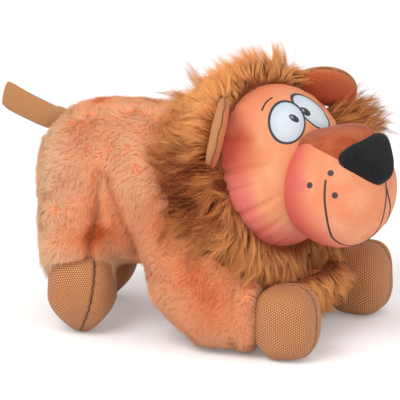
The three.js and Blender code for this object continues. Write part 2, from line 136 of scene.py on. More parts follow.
class Paint:
    """A material's nodes."""

    def __init__(self, name):
        self.material = bpy.data.materials.new(name)
        self.material.use_nodes = True
        self.tree = self.material.node_tree
        self.shader = self.tree.nodes["Principled BSDF"]

    def node(self, kind, settings, *values, output=0, **named):
        node = self.tree.nodes.new(kind)
        for name, setting in settings.items():
            setattr(node, name, setting)
        for key, value in list(enumerate(values)) + list(named.items()):
            socket = node.inputs[key if isinstance(key, int) else key.replace("_", " ")]
            if isinstance(value, Value):
                self.tree.links.new(value.socket, socket)
            else:
                socket.default_value = value
        return Value(self, node.outputs[output])

    def set(self, name, value):
        socket = self.shader.inputs[name]
        if isinstance(value, Value):
            self.tree.links.new(value.socket, socket)
        else:
            socket.default_value = value

    def place(self):
        return self.node("ShaderNodeTexCoord", {}, output="Object")

    def uv(self, name):
        return self.node("ShaderNodeUVMap", {"uv_map": name})

    def parts(self, vector):
        return [self.node("ShaderNodeSeparateXYZ", {}, vector, output=i) for i in range(3)]

    def blend(self, share, first, second):
        """The first colour at share 0, and the second at 1."""
        node = self.tree.nodes.new("ShaderNodeMix")
        node.data_type = "RGBA"
        for name, value in (("Factor", share), ("A", first), ("B", second)):
            socket = [s for s in node.inputs if s.name == name and s.enabled][0]
            if isinstance(value, Value):
                self.tree.links.new(value.socket, socket)
            else:
                socket.default_value = value
        return Value(self, [s for s in node.outputs if s.enabled][0])

    def noise(self, size, detail=3.0, vector=None):
        """Smooth noise from 0 to 1, with features of that size in metres."""
        return self.node(
            "ShaderNodeTexNoise", {}, Vector=vector or self.place(), Scale=1 / size, Detail=detail, output=0
        )

    def bump(self, height, depth):
        self.set("Normal", self.node("ShaderNodeBump", {}, Height=height, Distance=depth, Strength=1.0))


def dress(piece, material):
    piece.data.materials.clear()
    piece.data.materials.append(material)


def sewn_on(piece, material, body, slot, fill, *stands_for):
    """A padded piece in its place: it rides a body, and stands for CAD nodes."""
    dress(piece, material)
    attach(piece, body)
    if stands_for:
        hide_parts(*stands_for)


# Head frame

HEAD_ROTATION = np.array(
    Euler([math.radians(a) for a in (HEAD_TILT, -HEAD_LIFT, -HEAD_TURN)], "XYZ").to_matrix()
)


def from_head(points):
    """Points of the head's frame, in mm, as points of the row frame."""
    return np.asarray(points) * MM @ HEAD_ROTATION.T + HEAD_MIDDLE


def to_head(points):
    return (np.asarray(points) - HEAD_MIDDLE) @ HEAD_ROTATION / MM


# Meshes


def points_of(mesh):
    flat = np.zeros(len(mesh.vertices) * 3)
    mesh.vertices.foreach_get("co", flat)
    return flat.reshape(-1, 3)


def normals_of(mesh):
    flat = np.zeros(len(mesh.vertices) * 3)
    mesh.vertices.foreach_get("normal", flat)
    return flat.reshape(-1, 3)


def set_points(mesh, points):
    mesh.vertices.foreach_set("co", np.asarray(points).ravel())
    mesh.update()


def smooth(mesh):
    mesh.polygons.foreach_set("use_smooth", np.ones(len(mesh.polygons), bool))
    mesh.update()


def add_uv(mesh, name, per_point):
    """A UV map from one pair of numbers for each point."""
    layer = mesh.uv_layers.new(name=name)
    corners = np.zeros(len(mesh.loops), int)
    mesh.loops.foreach_get("vertex_index", corners)
    layer.data.foreach_set("uv", np.asarray(per_point)[corners].ravel())


def piece_of(name, mesh):
    piece = bpy.data.objects.new(name, mesh)
    bpy.context.scene.collection.objects.link(piece)
    return piece


ROUNDED = 6  # decimals


def in_order(mesh):
    """The mesh with its points and faces sorted by place, as the operator's own order varies between runs."""
    name, points = mesh.name, np.round(points_of(mesh), ROUNDED)
    order = np.lexsort(points.T)
    rank = np.argsort(order).tolist()
    faces = []
    for polygon in mesh.polygons:
        corners = [rank[i] for i in polygon.vertices]
        first = corners.index(min(corners))
        faces.append(corners[first:] + corners[:first])
    bpy.data.meshes.remove(mesh)
    made = bpy.data.meshes.new(name)
    made.from_pydata(points[order].tolist(), [], sorted(faces))
    return made


def ball_form(name, segments, rings, shape):
    """A sphere whose poles lie along X, with each point put where shape says. Keeps where the points were."""
    work = bmesh.new()
    bmesh.ops.create_uvsphere(work, u_segments=segments, v_segments=rings, radius=1)
    bmesh.ops.rotate(work, verts=work.verts, matrix=Euler((0, math.pi / 2, 0)).to_matrix())
    mesh = bpy.data.meshes.new(name)
    work.to_mesh(mesh)
    work.free()
    mesh = in_order(mesh)
    unit = points_of(mesh)
    set_points(mesh, shape(unit))
    smooth(mesh)
    return piece_of(name, mesh), unit


def superball(unit, half, fullness):
    """Unit points pushed out to a padded form, squarer as its fullness rises."""
    total = (np.abs(unit) ** fullness).sum(1, keepdims=True) ** (-1 / fullness)
    return unit * total * np.array(half)


def round_weave(mesh, unit, radius, both_ends=True):
    """A UV map in metres, spread evenly from the front pole, or from each pole to the seam between them."""
    angle = np.arccos(np.clip(unit[:, 0], -1, 1))
    if both_ends:
        angle = np.minimum(angle, math.pi - angle)
    clock = np.arctan2(unit[:, 2], unit[:, 1])
    reach = angle * radius
    add_uv(mesh, "Weave", np.stack([reach * np.cos(clock), reach * np.sin(clock)], 1))


def seam_map(mesh, unit, radius):
    """A UV map in metres: how far a point is from the seam between the poles, and how far along the seam."""
    off = np.arcsin(np.clip(unit[:, 0], -1, 1)) * radius
    add_uv(mesh, "Seam", np.stack([off, np.arctan2(unit[:, 2], unit[:, 1]) * radius], 1))


MERGE_GAP = 0.01 * MM


def joined(name, nodes):
    """One mesh of copies of CAD nodes, with their loose triangles merged."""
    work = bmesh.new()
    for node in nodes:
        work.from_mesh(frame["nodes"][node].data)
    bmesh.ops.remove_doubles(work, verts=work.verts, dist=MERGE_GAP)
    mesh = bpy.data.meshes.new(name)
    work.to_mesh(mesh)
    work.free()
    return mesh


def skin(name, nodes, voxel, inset, rounds, bridged=0.0):
    """The nodes' common outside as one smooth surface, set in. Gaps up to twice bridged wide close."""
    piece = piece_of(name, joined(name, nodes))

    def remesh():
        step = piece.modifiers.new("remesh", "REMESH")
        step.mode = "VOXEL"
        step.voxel_size = voxel

    def swell(distance):
        step = piece.modifiers.new("swell", "DISPLACE")
        step.strength = distance
        step.mid_level = 0

    remesh()
    if bridged:
        swell(bridged)
        remesh()
    soften = piece.modifiers.new("soften", "SMOOTH")
    soften.factor = 0.5
    soften.iterations = rounds
    swell(-inset - bridged)
    bpy.context.view_layer.update()
    made = bpy.data.meshes.new_from_object(piece.evaluated_get(bpy.context.evaluated_depsgraph_get()))
    piece.modifiers.clear()
    piece.data = made
    smooth(made)
    return piece


# Folds

FOLD_DEPTH, FOLD_REACH = 9 * MM, 4.5 * MM
FOLD_STEPS = 6  # from one knot to the next
# Lines on the near side of the body, in mm: in front of the thigh, and where the belly meets it
THIGH_FOLD = ((-61.5, -56.8, 129.3), (-62, -59, 115), (-62, -58.5, 98), (-64, -58.3, 80), (-65.4, -59.4, 64))
BELLY_FOLD = (
    (-57, -57.6, 126.8), (-52.5, -59.5, 114), (-47.5, -59, 100), (-42, -55.5, 85), (-38.5, -48, 71),
    (-38, -40, 60),
)


def fold_lines():
    """The folds of both sides, as closely spaced points."""
    rows = []
    for fold in (THIGH_FOLD, BELLY_FOLD):
        knots = np.array(fold) * MM
        shares = np.linspace(0, 1, FOLD_STEPS, endpoint=False)
        for start, end in zip(knots[:-1], knots[1:]):
            rows.extend(start + (end - start) * share for share in shares)
        rows.append(knots[-1])
    rows = np.array(rows)
    return np.concatenate([rows, rows * np.array([1, -1, 1])])


def near_folds(points, reach):
    """1 in a fold, and less the farther a point is from it."""
    lines = fold_lines()
    tree = KDTree(len(lines))
    for i, line in enumerate(lines):
        tree.insert(Vector(line), i)
    tree.balance()
    distance = np.array([tree.find(Vector(point))[2] for point in points])
    return np.exp(-((distance / reach) ** 2))


def draw_in_folds(mesh):
    """The cloth drawn in along its folds."""
    points, normals = points_of(mesh), normals_of(mesh)
    set_points(mesh, points - normals * near_folds(points, FOLD_REACH)[:, None] * FOLD_DEPTH)


def tree_of(nodes):
    """A search tree over CAD nodes."""
    work = bmesh.new()
    for node in nodes:
        work.from_mesh(frame["nodes"][node].data)
    tree = BVHTree.FromBMesh(work)
    work.free()
    return tree


# Pile

TINY = 1e-9


def strand_template(cuts):
    """A three-sided tapering strand: its points as aside, aside and share of the length, and its faces."""
    work = bmesh.new()
    bmesh.ops.create_cone(work, segments=3, cap_ends=True, radius1=1, radius2=0, depth=1)
    bmesh.ops.translate(work, verts=work.verts, vec=(0, 0, 0.5))
    for i in range(cuts):
        everything = work.verts[:] + work.edges[:] + work.faces[:]
        share = (i + 1) / (cuts + 1)
        bmesh.ops.bisect_plane(work, geom=everything, plane_co=(0, 0, share), plane_no=(0, 0, 1))
    bmesh.ops.triangulate(work, faces=work.faces)
    work.verts.index_update()
    points = np.array([v.co for v in work.verts])
    faces = np.array([[v.index for v in f.verts] for f in work.faces])
    work.free()
    return points, faces


def scatter(mesh, count, rng):
    """Points spread evenly over a mesh, with the smooth normals there."""
    mesh.calc_loop_triangles()
    corners = np.zeros(len(mesh.loop_triangles) * 3, int)
    mesh.loop_triangles.foreach_get("vertices", corners)
    corners = corners.reshape(-1, 3)
    points, normals = points_of(mesh), normals_of(mesh)
    a, b, c = (points[corners[:, i]] for i in range(3))
    areas = np.linalg.norm(np.cross(b - a, c - a), axis=1)
    chosen = np.searchsorted(np.cumsum(areas) / areas.sum(), rng.random(count))
    first, second = rng.random(count), rng.random(count)
    over = first + second > 1
    first[over], second[over] = 1 - first[over], 1 - second[over]
    shares = np.stack([1 - first - second, first, second], 1)[:, :, None]
    spots = (points[corners[chosen]] * shares).sum(1)
    facing = (normals[corners[chosen]] * shares).sum(1)
    return spots, facing / np.linalg.norm(facing, axis=1, keepdims=True)


def unit_rows(vectors):
    return vectors / np.maximum(np.linalg.norm(vectors, axis=1, keepdims=True), TINY)


def lumps(points, size, seed):
    """Smooth noise from about -1 to 1 at each point."""
    shift = Vector((seed * 7.3, seed * 3.1, seed * 5.7))
    return np.array([noise.noise(Vector(p) / size + shift) for p in points])


def swirls(points, size, seed):
    """A smoothly varying direction at each point."""
    return np.stack([lumps(points, size, seed + i) for i in range(3)], 1)


def clear_length(spots, directions, lengths, tree):
    """How long each strand can be before it meets the tree, up to its own length."""
    free = lengths.copy()
    for i, (spot, direction) in enumerate(zip(spots, directions)):
        distance = tree.ray_cast(Vector(spot), Vector(direction), lengths[i])[3]
        if distance is not None:
            free[i] = distance
    return free


def varied(start, points, rows):
    """A number that varies over points. Each row adds lumps of a size and a seed, by a strength."""
    for size, seed, strength in rows:
        start = start + strength * lumps(points, size, seed)
    return start


def swirled(points, rows):
    """A direction that varies over points. Each row adds swirls of a size and a seed, by a strength."""
    return sum(swirls(points, size, seed) * strength for size, seed, strength in rows)


def locks_of(spots, size):
    """The strand in the middle of each strand's lock. A lock has about size strands."""
    centres = np.arange(0, len(spots), size)
    tree = KDTree(len(centres))
    for i, centre in enumerate(centres):
        tree.insert(Vector(spots[centre]), i)
    tree.balance()
    return np.array([centres[tree.find(Vector(spot))[1]] for spot in spots])


APART_SHARE = 0.2  # of how far apart strands of a lock stand, that their tips keep
BEND_SHARE = 0.5  # of a strand's reach, at which its bend lies


def draw_together(spots, tips, locks, pull):
    """Tips drawn towards the tip in the middle of their lock."""
    kept_apart = (spots - spots[locks]) * APART_SHARE
    return tips + (tips[locks] + kept_apart - tips) * np.reshape(pull, (-1, 1))


def bends_of(spots, normals, tips, lift):
    """The points that strands bend towards on their way, as they leave along their normals."""
    reach = np.linalg.norm(tips - spots, axis=1, keepdims=True)
    return spots + unit_rows(normals * lift + unit_rows(tips - spots)) * reach * BEND_SHARE


OVER_REACH = 60 * MM  # from which hair is laid down on the body


def laid_over(points, tree, axis, clearance, most):
    """Points brought out, by less than most, to lie over what the tree holds, away from an axis along X."""
    outward = unit_rows((points - axis) * np.array([0, 1, 1]))
    moved = points.copy()
    for i, (point, direction) in enumerate(zip(points, outward)):
        start = Vector(point + direction * OVER_REACH)
        hit = tree.ray_cast(start, Vector(-direction), OVER_REACH + clearance[i])[0]
        if hit is None:
            continue
        wanted = np.array(hit) + direction * clearance[i]
        if np.linalg.norm(wanted - point) < most:
            moved[i] = wanted
    return moved


STRAND_THICKNESS_SHARE = 0.5  # of its width
WAVE_SIZE, WAVE_SEED, WAVE_SPREAD = 11 * MM, 71, 5  # how hair that waves together varies over the skin
WAVE_TURNS = (7.5, 6.3)  # radians along a strand, aside and across
ACROSS_SHARE = 0.6  # of the wave aside, that a strand waves across
SLIGHT_LEAN = np.array([0.013, 0.017, 0.011])  # so that no strand runs along its normal


def strand_points(template, spots, normals, bends, tips, width, wave=0.0):
    """Where each strand's points are. It bends over to its tip and waves from side to side."""
    reach = np.linalg.norm(tips - spots, axis=1, keepdims=True)
    heading = unit_rows(tips - spots)
    share = template[:, 2][None, :, None]
    start, middle, end = spots[:, None], bends[:, None], tips[:, None]
    line = start * (1 - share) ** 2 + middle * 2 * share * (1 - share) + end * share**2
    aside = unit_rows(np.cross(heading, normals + SLIGHT_LEAN))
    across = np.cross(heading, aside)
    if wave:
        phase = lumps(spots, WAVE_SIZE, WAVE_SEED)[:, None, None] * WAVE_SPREAD
        swing = share * reach[:, None] * wave
        line = line + aside[:, None] * np.sin(share * WAVE_TURNS[0] + phase) * swing
        line = line + across[:, None] * np.cos(share * WAVE_TURNS[1] + phase) * swing * ACROSS_SHARE
    wide, thick = np.split(template[None, :, :2] * width[:, None, None], 2, axis=2)
    return line + aside[:, None] * wide + across[:, None] * thick * STRAND_THICKNESS_SHARE


TONE_ENDS, ALONG_ENDS = (0.01, 0.99), (0.02, 0.98)  # inside the map's edges


def strands_mesh(name, template, faces, points, facing, tone, skin_light):
    """Strands as one mesh, lit by that share as the skin that they stand on, as soft pile is."""
    count, per = len(points), len(template)
    mesh = bpy.data.meshes.new(name)
    mesh.vertices.add(count * per)
    corners = (faces[None] + (np.arange(count) * per)[:, None, None]).reshape(-1, 3)
    mesh.loops.add(corners.size)
    mesh.polygons.add(len(corners))
    mesh.loops.foreach_set("vertex_index", corners.ravel().astype(np.int32))
    mesh.polygons.foreach_set("loop_start", np.arange(0, corners.size, 3, dtype=np.int32))
    mesh.vertices.foreach_set("co", points.ravel())
    mesh.update(calc_edges=True)
    tones = np.repeat(np.clip(tone, *TONE_ENDS), per)
    along = np.tile(np.clip(template[:, 2], *ALONG_ENDS), count)
    add_uv(mesh, "OFBake", np.stack([tones, along], 1))
    smooth(mesh)
    softened = unit_rows(normals_of(mesh) * (1 - skin_light) + np.repeat(facing, per, axis=0) * skin_light)
    mesh.normals_split_custom_set_from_vertices(softened)
    return mesh


MOST_TRIANGLES = 190000  # in a piece of pile
PILE_PROUD = 11 * MM  # how far past the CAD's box a strand's tip may lie, apart from its wave


def share_inside(spots, tips):
    """The share of each strand that stays where pile may reach."""
    share = np.ones((len(tips), 1))
    for side, corner in zip((-1, 1), CAD_BOX):
        room = side * (np.array(corner) - spots) + PILE_PROUD
        reach = side * (tips - spots)
        fitting = np.where(reach > room, room / np.maximum(reach, TINY), 1)
        share = np.minimum(share, fitting.min(1, keepdims=True))
    return share


def pile(name, body, slot, paint, cuts, spots, normals, bends, tips, width, tone, skin_light, wave=0.0):
    """Pieces of pile that ride a body, none too large. Strands end above the floor and near the CAD's box."""
    template, faces = strand_template(cuts)
    share = share_inside(spots, tips)
    bends, tips = spots + (bends - spots) * share, spots + (tips - spots) * share
    points = strand_points(template, spots, normals, bends, tips, width, wave)
    points[:, :, 2] = np.maximum(points[:, :, 2], 0)
    pieces = math.ceil(len(spots) * len(faces) / MOST_TRIANGLES)
    for i, mine in enumerate(np.array_split(np.arange(len(spots)), pieces)):
        part = f"{name}_{i + 1}"
        made = strands_mesh(part, template, faces, points[mine], normals[mine], tone[mine], skin_light)
        piece = piece_of(part, made)
        dress(piece, paint)
        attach(piece, body)


# Body cloth and pile

BODY_NODES = {"torso": ["torso_cover", "torso_filling"], **{f"{leg}_leg": [f"{leg}_leg"] for leg in LEGS}}
ALL_BODY_NODES = [node for nodes in BODY_NODES.values() for node in nodes]
FUR_INSET, LINING_INSET = 1.8 * MM, 8 * MM  # under the CAD's surface
CLOTH_WALL = 1.2 * MM
BRIDGED = 5 * MM  # half of the widest gap that the body's skin closes
SKIN_VOXEL = 3 * MM
SKIN_ROUNDS, LINING_ROUNDS = 10, 6  # of smoothing

rng = np.random.default_rng(7)


def pile_paint(name, shaded, roots, deep, light, sheen):
    """Pile that is darker at its roots, and from shaded over deep to light by each strand's tone."""
    paint = Paint(name)
    tone, along, _ = paint.parts(paint.uv("OFBake"))
    tips = paint.blend(tone, linear(*deep), linear(*light))
    colour = paint.blend(along.between(0.0, 0.55), linear(*roots), tips)
    paint.set("Base Color", paint.blend(1 - tone.between(0.0, 0.25), colour, linear(*shaded)))
    paint.set("Roughness", 0.85)
    paint.set("Sheen Weight", sheen)
    paint.set("Sheen Roughness", 0.5)
    paint.set("Sheen Tint", linear(*roots))
    paint.set("Specular IOR Level", 0.15)
    return paint.material


GRAIN_SIZE = 2.5 * MM
BACKING_DEPTH, FUR_BACKING_DEPTH = 0.6 * MM, 0.3 * MM


def cloth_paint(name, colour, depth=BACKING_DEPTH):
    """The backing that the pile stands on."""
    paint = Paint(name)
    grain = paint.noise(GRAIN_SIZE)
    darker = [part * 0.8 for part in colour]
    paint.set("Base Color", paint.blend(grain.between(0.3, 0.7), linear(*darker), linear(*colour)))
    paint.set("Roughness", 0.95)
    paint.bump(grain, depth)
    return paint.material


fur_paint = pile_paint("short_pile", (208, 90, 40), (255, 156, 104), (255, 136, 78), (255, 220, 178), 0.5)
backing_paint = cloth_paint("fur_backing", (252, 156, 108), FUR_BACKING_DEPTH)
mane_paint = pile_paint("long_pile", (108, 48, 20), (132, 60, 26), (168, 78, 34), (252, 178, 110), 0.25)
mane_backing_paint = cloth_paint("mane_backing", (142, 76, 36))

# Paws, whose back or top is inside the leg. Half sizes and the flare of the cuff are in mm, turns in degrees
PAWS = {
    "front": {
        "half": (24, 23, 28), "fullness": 2.8, "tip_share": 1.0, "facing": 82, "roll": 8, "arch": 0.0,
        "flare": 4,
    },
    "rear": {
        "half": (25, 23.5, 31.5), "fullness": 2.7, "tip_share": 0.42, "facing": 32, "roll": 14, "arch": 0.22,
        "flare": 1,
    },
}
UNDER_PAW, UNDER_PAW_EASE = 0.9, 0.12  # how far out the cloth inside a paw lies, and over what it comes out
CUFF_LEVEL, CUFF_SPAN = 1.35, 0.28  # how far out a cuff flares most, and how far from there it still does


def kind_of(leg):
    return PAWS[leg.split("_")[0]]


def hand_of(leg):
    return 1 if leg.endswith("left") else -1


def paw_place(leg):
    """The middle and the half sizes of a leg's paw."""
    low, high = (np.array(corner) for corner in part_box(f"{leg}_paw"))
    half = np.array(kind_of(leg)["half"]) * MM
    return np.array([high[0] - half[0], (low[1] + high[1]) / 2, low[2] + half[2]]), half


def paw_level(points, leg):
    """How far out points are from a leg's paw, 1 on its surface, and how far out the cloth ends round it."""
    middle, half = paw_place(leg)
    away = (points - middle) / half
    level = (np.abs(away) ** kind_of(leg)["fullness"]).sum(1) ** (1 / kind_of(leg)["fullness"])
    aside = hand_of(leg) * away[:, 1] / np.maximum(np.linalg.norm(away[:, :2], axis=1), TINY)
    outward = np.clip(aside, 0, 1)
    return level, 1 + kind_of(leg)["arch"] * outward


def drawn_under_paw(points, leg):
    """Points of the leg's cloth near its paw's surface, drawn inside the paw."""
    middle, _ = paw_place(leg)
    level, most = paw_level(points, leg)
    inside = np.minimum(level, UNDER_PAW)
    share = np.clip((level - most) / UNDER_PAW_EASE, 0, 1)
    wanted = inside * (1 - share) + level * share
    return middle + (points - middle) * (wanted / level)[:, None]


def owners_of(spots):
    """The body whose CAD nodes each point is nearest to."""
    found = []
    for spot in spots:
        distances = {body: tree.find_nearest(Vector(spot))[3] for body, tree in body_trees.items()}
        found.append(min(distances, key=distances.get))
    return np.array(found)


def cloth_part(name, mesh, mine):
    """The faces of a mesh that have a point of mine, as cloth with a wall."""
    work = bmesh.new()
    work.from_mesh(mesh)
    work.verts.ensure_lookup_table()
    spare = [face for face in work.faces if not mine[[vert.index for vert in face.verts]].any()]
    bmesh.ops.delete(work, geom=spare, context="FACES")
    made = bpy.data.meshes.new(name)
    work.to_mesh(made)
    work.free()
    smooth(made)
    piece = piece_of(name, made)
    wall = piece.modifiers.new("wall", "SOLIDIFY")
    wall.thickness = CLOTH_WALL
    wall.offset = -1
    return piece


def body_skin():
    """One closed skin over torso and legs, with its folds, its flared cuffs and its ends inside the paws."""
    whole = skin("whole_body", ALL_BODY_NODES, SKIN_VOXEL, FUR_INSET, SKIN_ROUNDS, BRIDGED)
    draw_in_folds(whole.data)
    points, normals = points_of(whole.data), normals_of(whole.data)
    for leg in LEGS:
        level, _ = paw_level(points, leg)
        flare = np.exp(-(((level - CUFF_LEVEL) / CUFF_SPAN) ** 2)) * kind_of(leg)["flare"] * MM
        points += normals * flare[:, None]
        points = drawn_under_paw(points, leg)
    set_points(whole.data, points)
    return whole, points


body_trees = {body: tree_of(nodes) for body, nodes in BODY_NODES.items()}
whole_body, skin_points = body_skin()
skin_owner = owners_of(skin_points)
for body, nodes in BODY_NODES.items():
    cloth = cloth_part(f"{body}_cloth", whole_body.data, skin_owner == body)
    sewn_on(cloth, backing_paint, body, "fur", 0.85, *nodes)
for leg in LEGS:
    lining = skin(f"{leg}_lining", [f"{leg}_leg"], SKIN_VOXEL, LINING_INSET, LINING_ROUNDS)
    sewn_on(lining, backing_paint, f"{leg}_leg", "fur", 0.85)

BODY_STRANDS = 178000
FUR_LENGTH = 6.5 * MM
FUR_WIDTH, FUR_WIDER = 0.22, 0.1  # mm, the least, and how much more some have
FUR_START = 0.5  # mm off the skin, from which the room for a strand is measured
LEAST_ROOM = 3 * MM  # without which no strand stands
BARE_LEVEL, CUFF_REACH = 0.02, 0.35  # how far out round a paw no pile stands, and how far out its cuff goes
LOCK_STRANDS = 22
FUR_FLOW = ((20 * MM, 1, 0.8), (7 * MM, 5, 0.6))  # size, seed and strength, as in the tables after it
FUR_TONES = ((34 * MM, 11, 0.14), (7 * MM, 12, 0.07))
SHORT_REACH, SHADE_REACH = 3.5 * MM, 7 * MM  # how far round a fold the pile is shorter, and how far painted shade darkens it
PALE_BEHIND, PALE_EASE = -85 * MM, 20 * MM  # from where, and over what length, the rump's pile turns paler
# Where the pile is a deeper orange, in mm, and how far round each place it is so. Those by the thigh's fold
# are painted shade in its creases
DEEP_AND_SHADED_PLACES = (
    ((-7.9, -61.4, 94.2), 22), ((16.9, -77.2, 66), 24), ((39, -84.4, 46.7), 22), ((-68.5, -62, 80), 18),
    ((-75, 6, 167), 8), ((-53, -57, 82), 9), ((-50, -54, 68), 10),
)
MIRRORED = np.array([1, -1, 1])
others_tree = tree_of(["mane", "face_panel", "muzzle", "chest_mane", "tail"])


def paw_edges(spots):
    """Which spots stand clear of the paws, how far into a cuff each is, and how far over a rear paw."""
    clear, cuff, hood = np.ones(len(spots), bool), np.zeros(len(spots)), np.zeros(len(spots))
    for leg in LEGS:
        level, most = paw_level(spots, leg)
        clear &= level > most + BARE_LEVEL
        mine = 1 - np.clip((level - most) / CUFF_REACH, 0, 1)
        cuff = np.maximum(cuff, mine)
        if leg.startswith("rear"):
            middle, half = paw_place(leg)
            behind = 1 + 0.8 * np.clip((middle[0] - spots[:, 0]) / half[0], 0, 1)
            hood = np.maximum(hood, mine * (1 - (most - 1) / kind_of(leg)["arch"]) * behind)
    return clear, cuff, hood


def fur_tone(spots, cuff, in_fold):
    """How light each strand of the body is. Painted shade darkens the folds and the pile round them, some
    places are a deeper orange, and cuffs and rump paler.
    """
    tone = varied(0.6, spots, FUR_TONES) + rng.normal(0, 0.04, len(spots))
    tone += 0.3 * cuff
    # A deeper orange, and painted shade in the creases by the thigh's fold
    for place, reach in DEEP_AND_SHADED_PLACES:
        for side in (spots, spots * MIRRORED):
            distance = np.linalg.norm(side - np.array(place) * MM, axis=1)
            tone -= 0.36 * np.exp(-((distance / (reach * MM)) ** 2))
    # Painted shade in the folds and round them
    tone -= 0.45 * in_fold + 0.4 * near_folds(spots, SHADE_REACH)
    return tone + 0.3 * np.clip((PALE_BEHIND - spots[:, 0]) / PALE_EASE, 0, 1)


def body_pile(whole):
    """Short pile all over the body, which leans down and back, and out over the paws at the cuffs."""
    spots, normals = scatter(whole.data, BODY_STRANDS, rng)
    starts, most = spots + normals * FUR_START * MM, np.full(len(spots), FUR_LENGTH)
    room = clear_length(starts, normals, most, others_tree)
    clear, cuff, hood = paw_edges(spots)
    kept = clear & (room > LEAST_ROOM)
    spots, normals, lengths, cuff, hood = (row[kept] for row in (spots, normals, room, cuff, hood))
    owner, count = owners_of(spots), len(spots)
    on_front = np.char.startswith(owner, "front")[:, None]
    over_paw = np.where(on_front, np.array([1.0, 0, -0.2]), np.array([0, 0, -1.0]))
    flow = swirled(spots, FUR_FLOW) + np.array([-0.3, 0, -0.5])
    flow = flow * (1 - cuff[:, None]) + over_paw * cuff[:, None] * 1.2
    flow -= normals * (flow * normals).sum(1, keepdims=True)
    lean = unit_rows(normals * 0.46 + unit_rows(flow) * 0.75 + rng.normal(0, 0.1, (count, 3)))
    in_fold = near_folds(spots, SHORT_REACH)
    lengths = lengths * (0.75 + 0.4 * rng.random(count) + 0.4 * cuff + 1.4 * hood) * (1 - 0.5 * in_fold)
    pull = 0.1 + 0.25 * rng.random(count)
    tips = draw_together(spots, spots + lean * lengths[:, None], locks_of(spots, LOCK_STRANDS), pull)
    tone = fur_tone(spots, cuff, in_fold)
    width = (FUR_WIDTH + FUR_WIDER * rng.random(count)) * MM
    bends = bends_of(spots, normals, tips, 0.5)
    for body in BODY_NODES:
        mine = owner == body
        rows = (row[mine] for row in (spots, normals, bends, tips, width, tone))
        pile(f"{body}_pile", body, "fur", fur_paint, 0, *rows, 0.4)


body_pile(whole_body)
bpy.data.objects.remove(whole_body)

# Mane


def mane_shape(unit):
    """A ball, flat at the front where the face is sewn on."""
    points = unit * MANE_RADIUS / MM
    points[:, 0] = np.minimum(points[:, 0], 1.0)
    return from_head(points)


# Where shade is painted into the mane, on its near side by the ear, in mm, and how far round each place it
# reaches
PAINTED_HAIR_SHADE = (((-12, -66, 28), 15), ((-14, -71, 4), 9))
# Locks that stand out: place and reach in mm, heading, and how much longer in mm. The first stands out past
# the far eye, and the others at the top of the back
LONG_LOCKS = (
    ((-3, 69, 7), 19, (0.85, 0.42, 0.02), 20),
    ((-43, 4, 60), 6, (-0.5, 0.05, 0.86), 10),
    ((-48, -9, 55), 6, (-0.68, -0.1, 0.72), 8),
)
FAR_LOCK = LONG_LOCKS[0]
FAR_LOCK_FROM, FAR_LOCK_TOP = -12, 20  # mm, where it begins at the back, and where it ends beside the ear
MANE_STRANDS = 76000
EXTRA_STRANDS = 140000  # of which only those in the far lock stay
TORSO_AXIS = np.array([0, -0.002, 0.108])  # a point on the line along its middle
SEAT_REACH, SEAT_GAP = 30 * MM, 5 * MM  # within which hair faces the torso, and the least room that it needs
SEAT_FROM = -15  # mm behind the face's rim
EAR_HALF_WIDE, EAR_HALF_TALL, EAR_SHADE = 25, 24, 22  # mm, the place beside an ear where no hair stands
FACE_FLAT, FACE_REACH = 0.5, 61  # mm, in front of which and within which the face lies
RIM_SPAN, RIM_EDGE = 22, 8  # mm behind the face, over which hair turns to stand out, and ahead
BIG_LOCK_STRANDS, MANE_LOCK_STRANDS = 110, 26
MANE_FLOW = ((26 * MM, 21, 0.9), (10 * MM, 25, 0.8))
MANE_TONES = ((15 * MM, 32, 0.2), (5 * MM, 34, 0.2))
# Lengths of hair in mm: the usual one, what is added where it is wild, on top, swept back or a stray, how far
# these vary, and the length in the seat
HAIR = {
    "usual": 27, "wild": 7, "top": -7, "swept": 5, "stray": 7, "lock_varies": 3.5, "swept_varies": 4,
    "strand_varies": 1.5, "in_seat": 15,
}
HAIR_LENGTHS = ((18 * MM, 31, 5),)
HAIR_WIDTH, HAIR_WIDER = 0.2, 0.1  # mm, the least, and how much more some have
SEAT_SHARE, STRAY_SHARE = 0.75, 0.04  # of the strands in the seat that stay, and of all that stray
WILD_SIZE, WILD_SEED = 11 * MM, 33  # where hair stands up more
BODY_NEAR, BODY_SPAN = 12 * MM, 10 * MM  # how near the body hair is swept back, and over what it changes
LAID_LEAST, LAID_LOCK, LAID_STRAND = 3, 3, 1.5  # mm over the body, and how much more by lock and by strand
MOST_LAID = 26 * MM
BEND_CLEARANCE = 2 * MM  # more than at the tip
MANE_SKIN_LIGHT, MANE_WAVE = 0.42, 0.1

mane_cloth, _ = ball_form("mane_cloth", 64, 48, mane_shape)
sewn_on(mane_cloth, mane_backing_paint, "head", "long_pile", 0.9, "mane")


def ear_frame(side):
    """An ear's seam, and the directions out from it, along it, and through it to its back."""
    joint = JOINTS[f"{side}_ear_fold"]
    seam, along = np.array(joint["pos_m"]), np.array(joint["axis"])
    low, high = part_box(f"{side}_ear")
    out = np.array((low + high) / 2) - seam
    out = unit_rows((out - along * (out @ along))[None])[0]
    through = np.cross(out, along)
    turn = math.radians(EAR["turn"][side])
    turned = out * math.cos(turn) + through * math.sin(turn)
    return seam, turned, along, through * math.cos(turn) - out * math.sin(turn)


EAR_FRAMES = {side: ear_frame(side) for side in ("right", "left")}


def beside_ear(points):
    """Whether points are on the face's side of an ear, and near it."""
    found = np.zeros(len(points), bool)
    for seam, out, along, through in EAR_FRAMES.values():
        away = (points - seam) / MM
        along_it = np.abs(away @ along) < EAR_HALF_WIDE
        in_front = (away @ through < 1) & (away @ through > -EAR_SHADE)
        found |= along_it & in_front & (np.abs(away @ out) < EAR_HALF_TALL)
    return found


def in_long_lock(points, lock):
    """1 in the middle of a long lock, and 0 outside it."""
    place, reach, _, _ = lock
    return np.exp(-((np.linalg.norm(to_head(points) - np.array(place), axis=1) / reach) ** 4))


outside_tree = tree_of(ALL_BODY_NODES)
legs_tree = tree_of([f"{leg}_leg" for leg in LEGS])
seat_tree = tree_of(["torso_cover", "torso_filling", "chest_mane"])


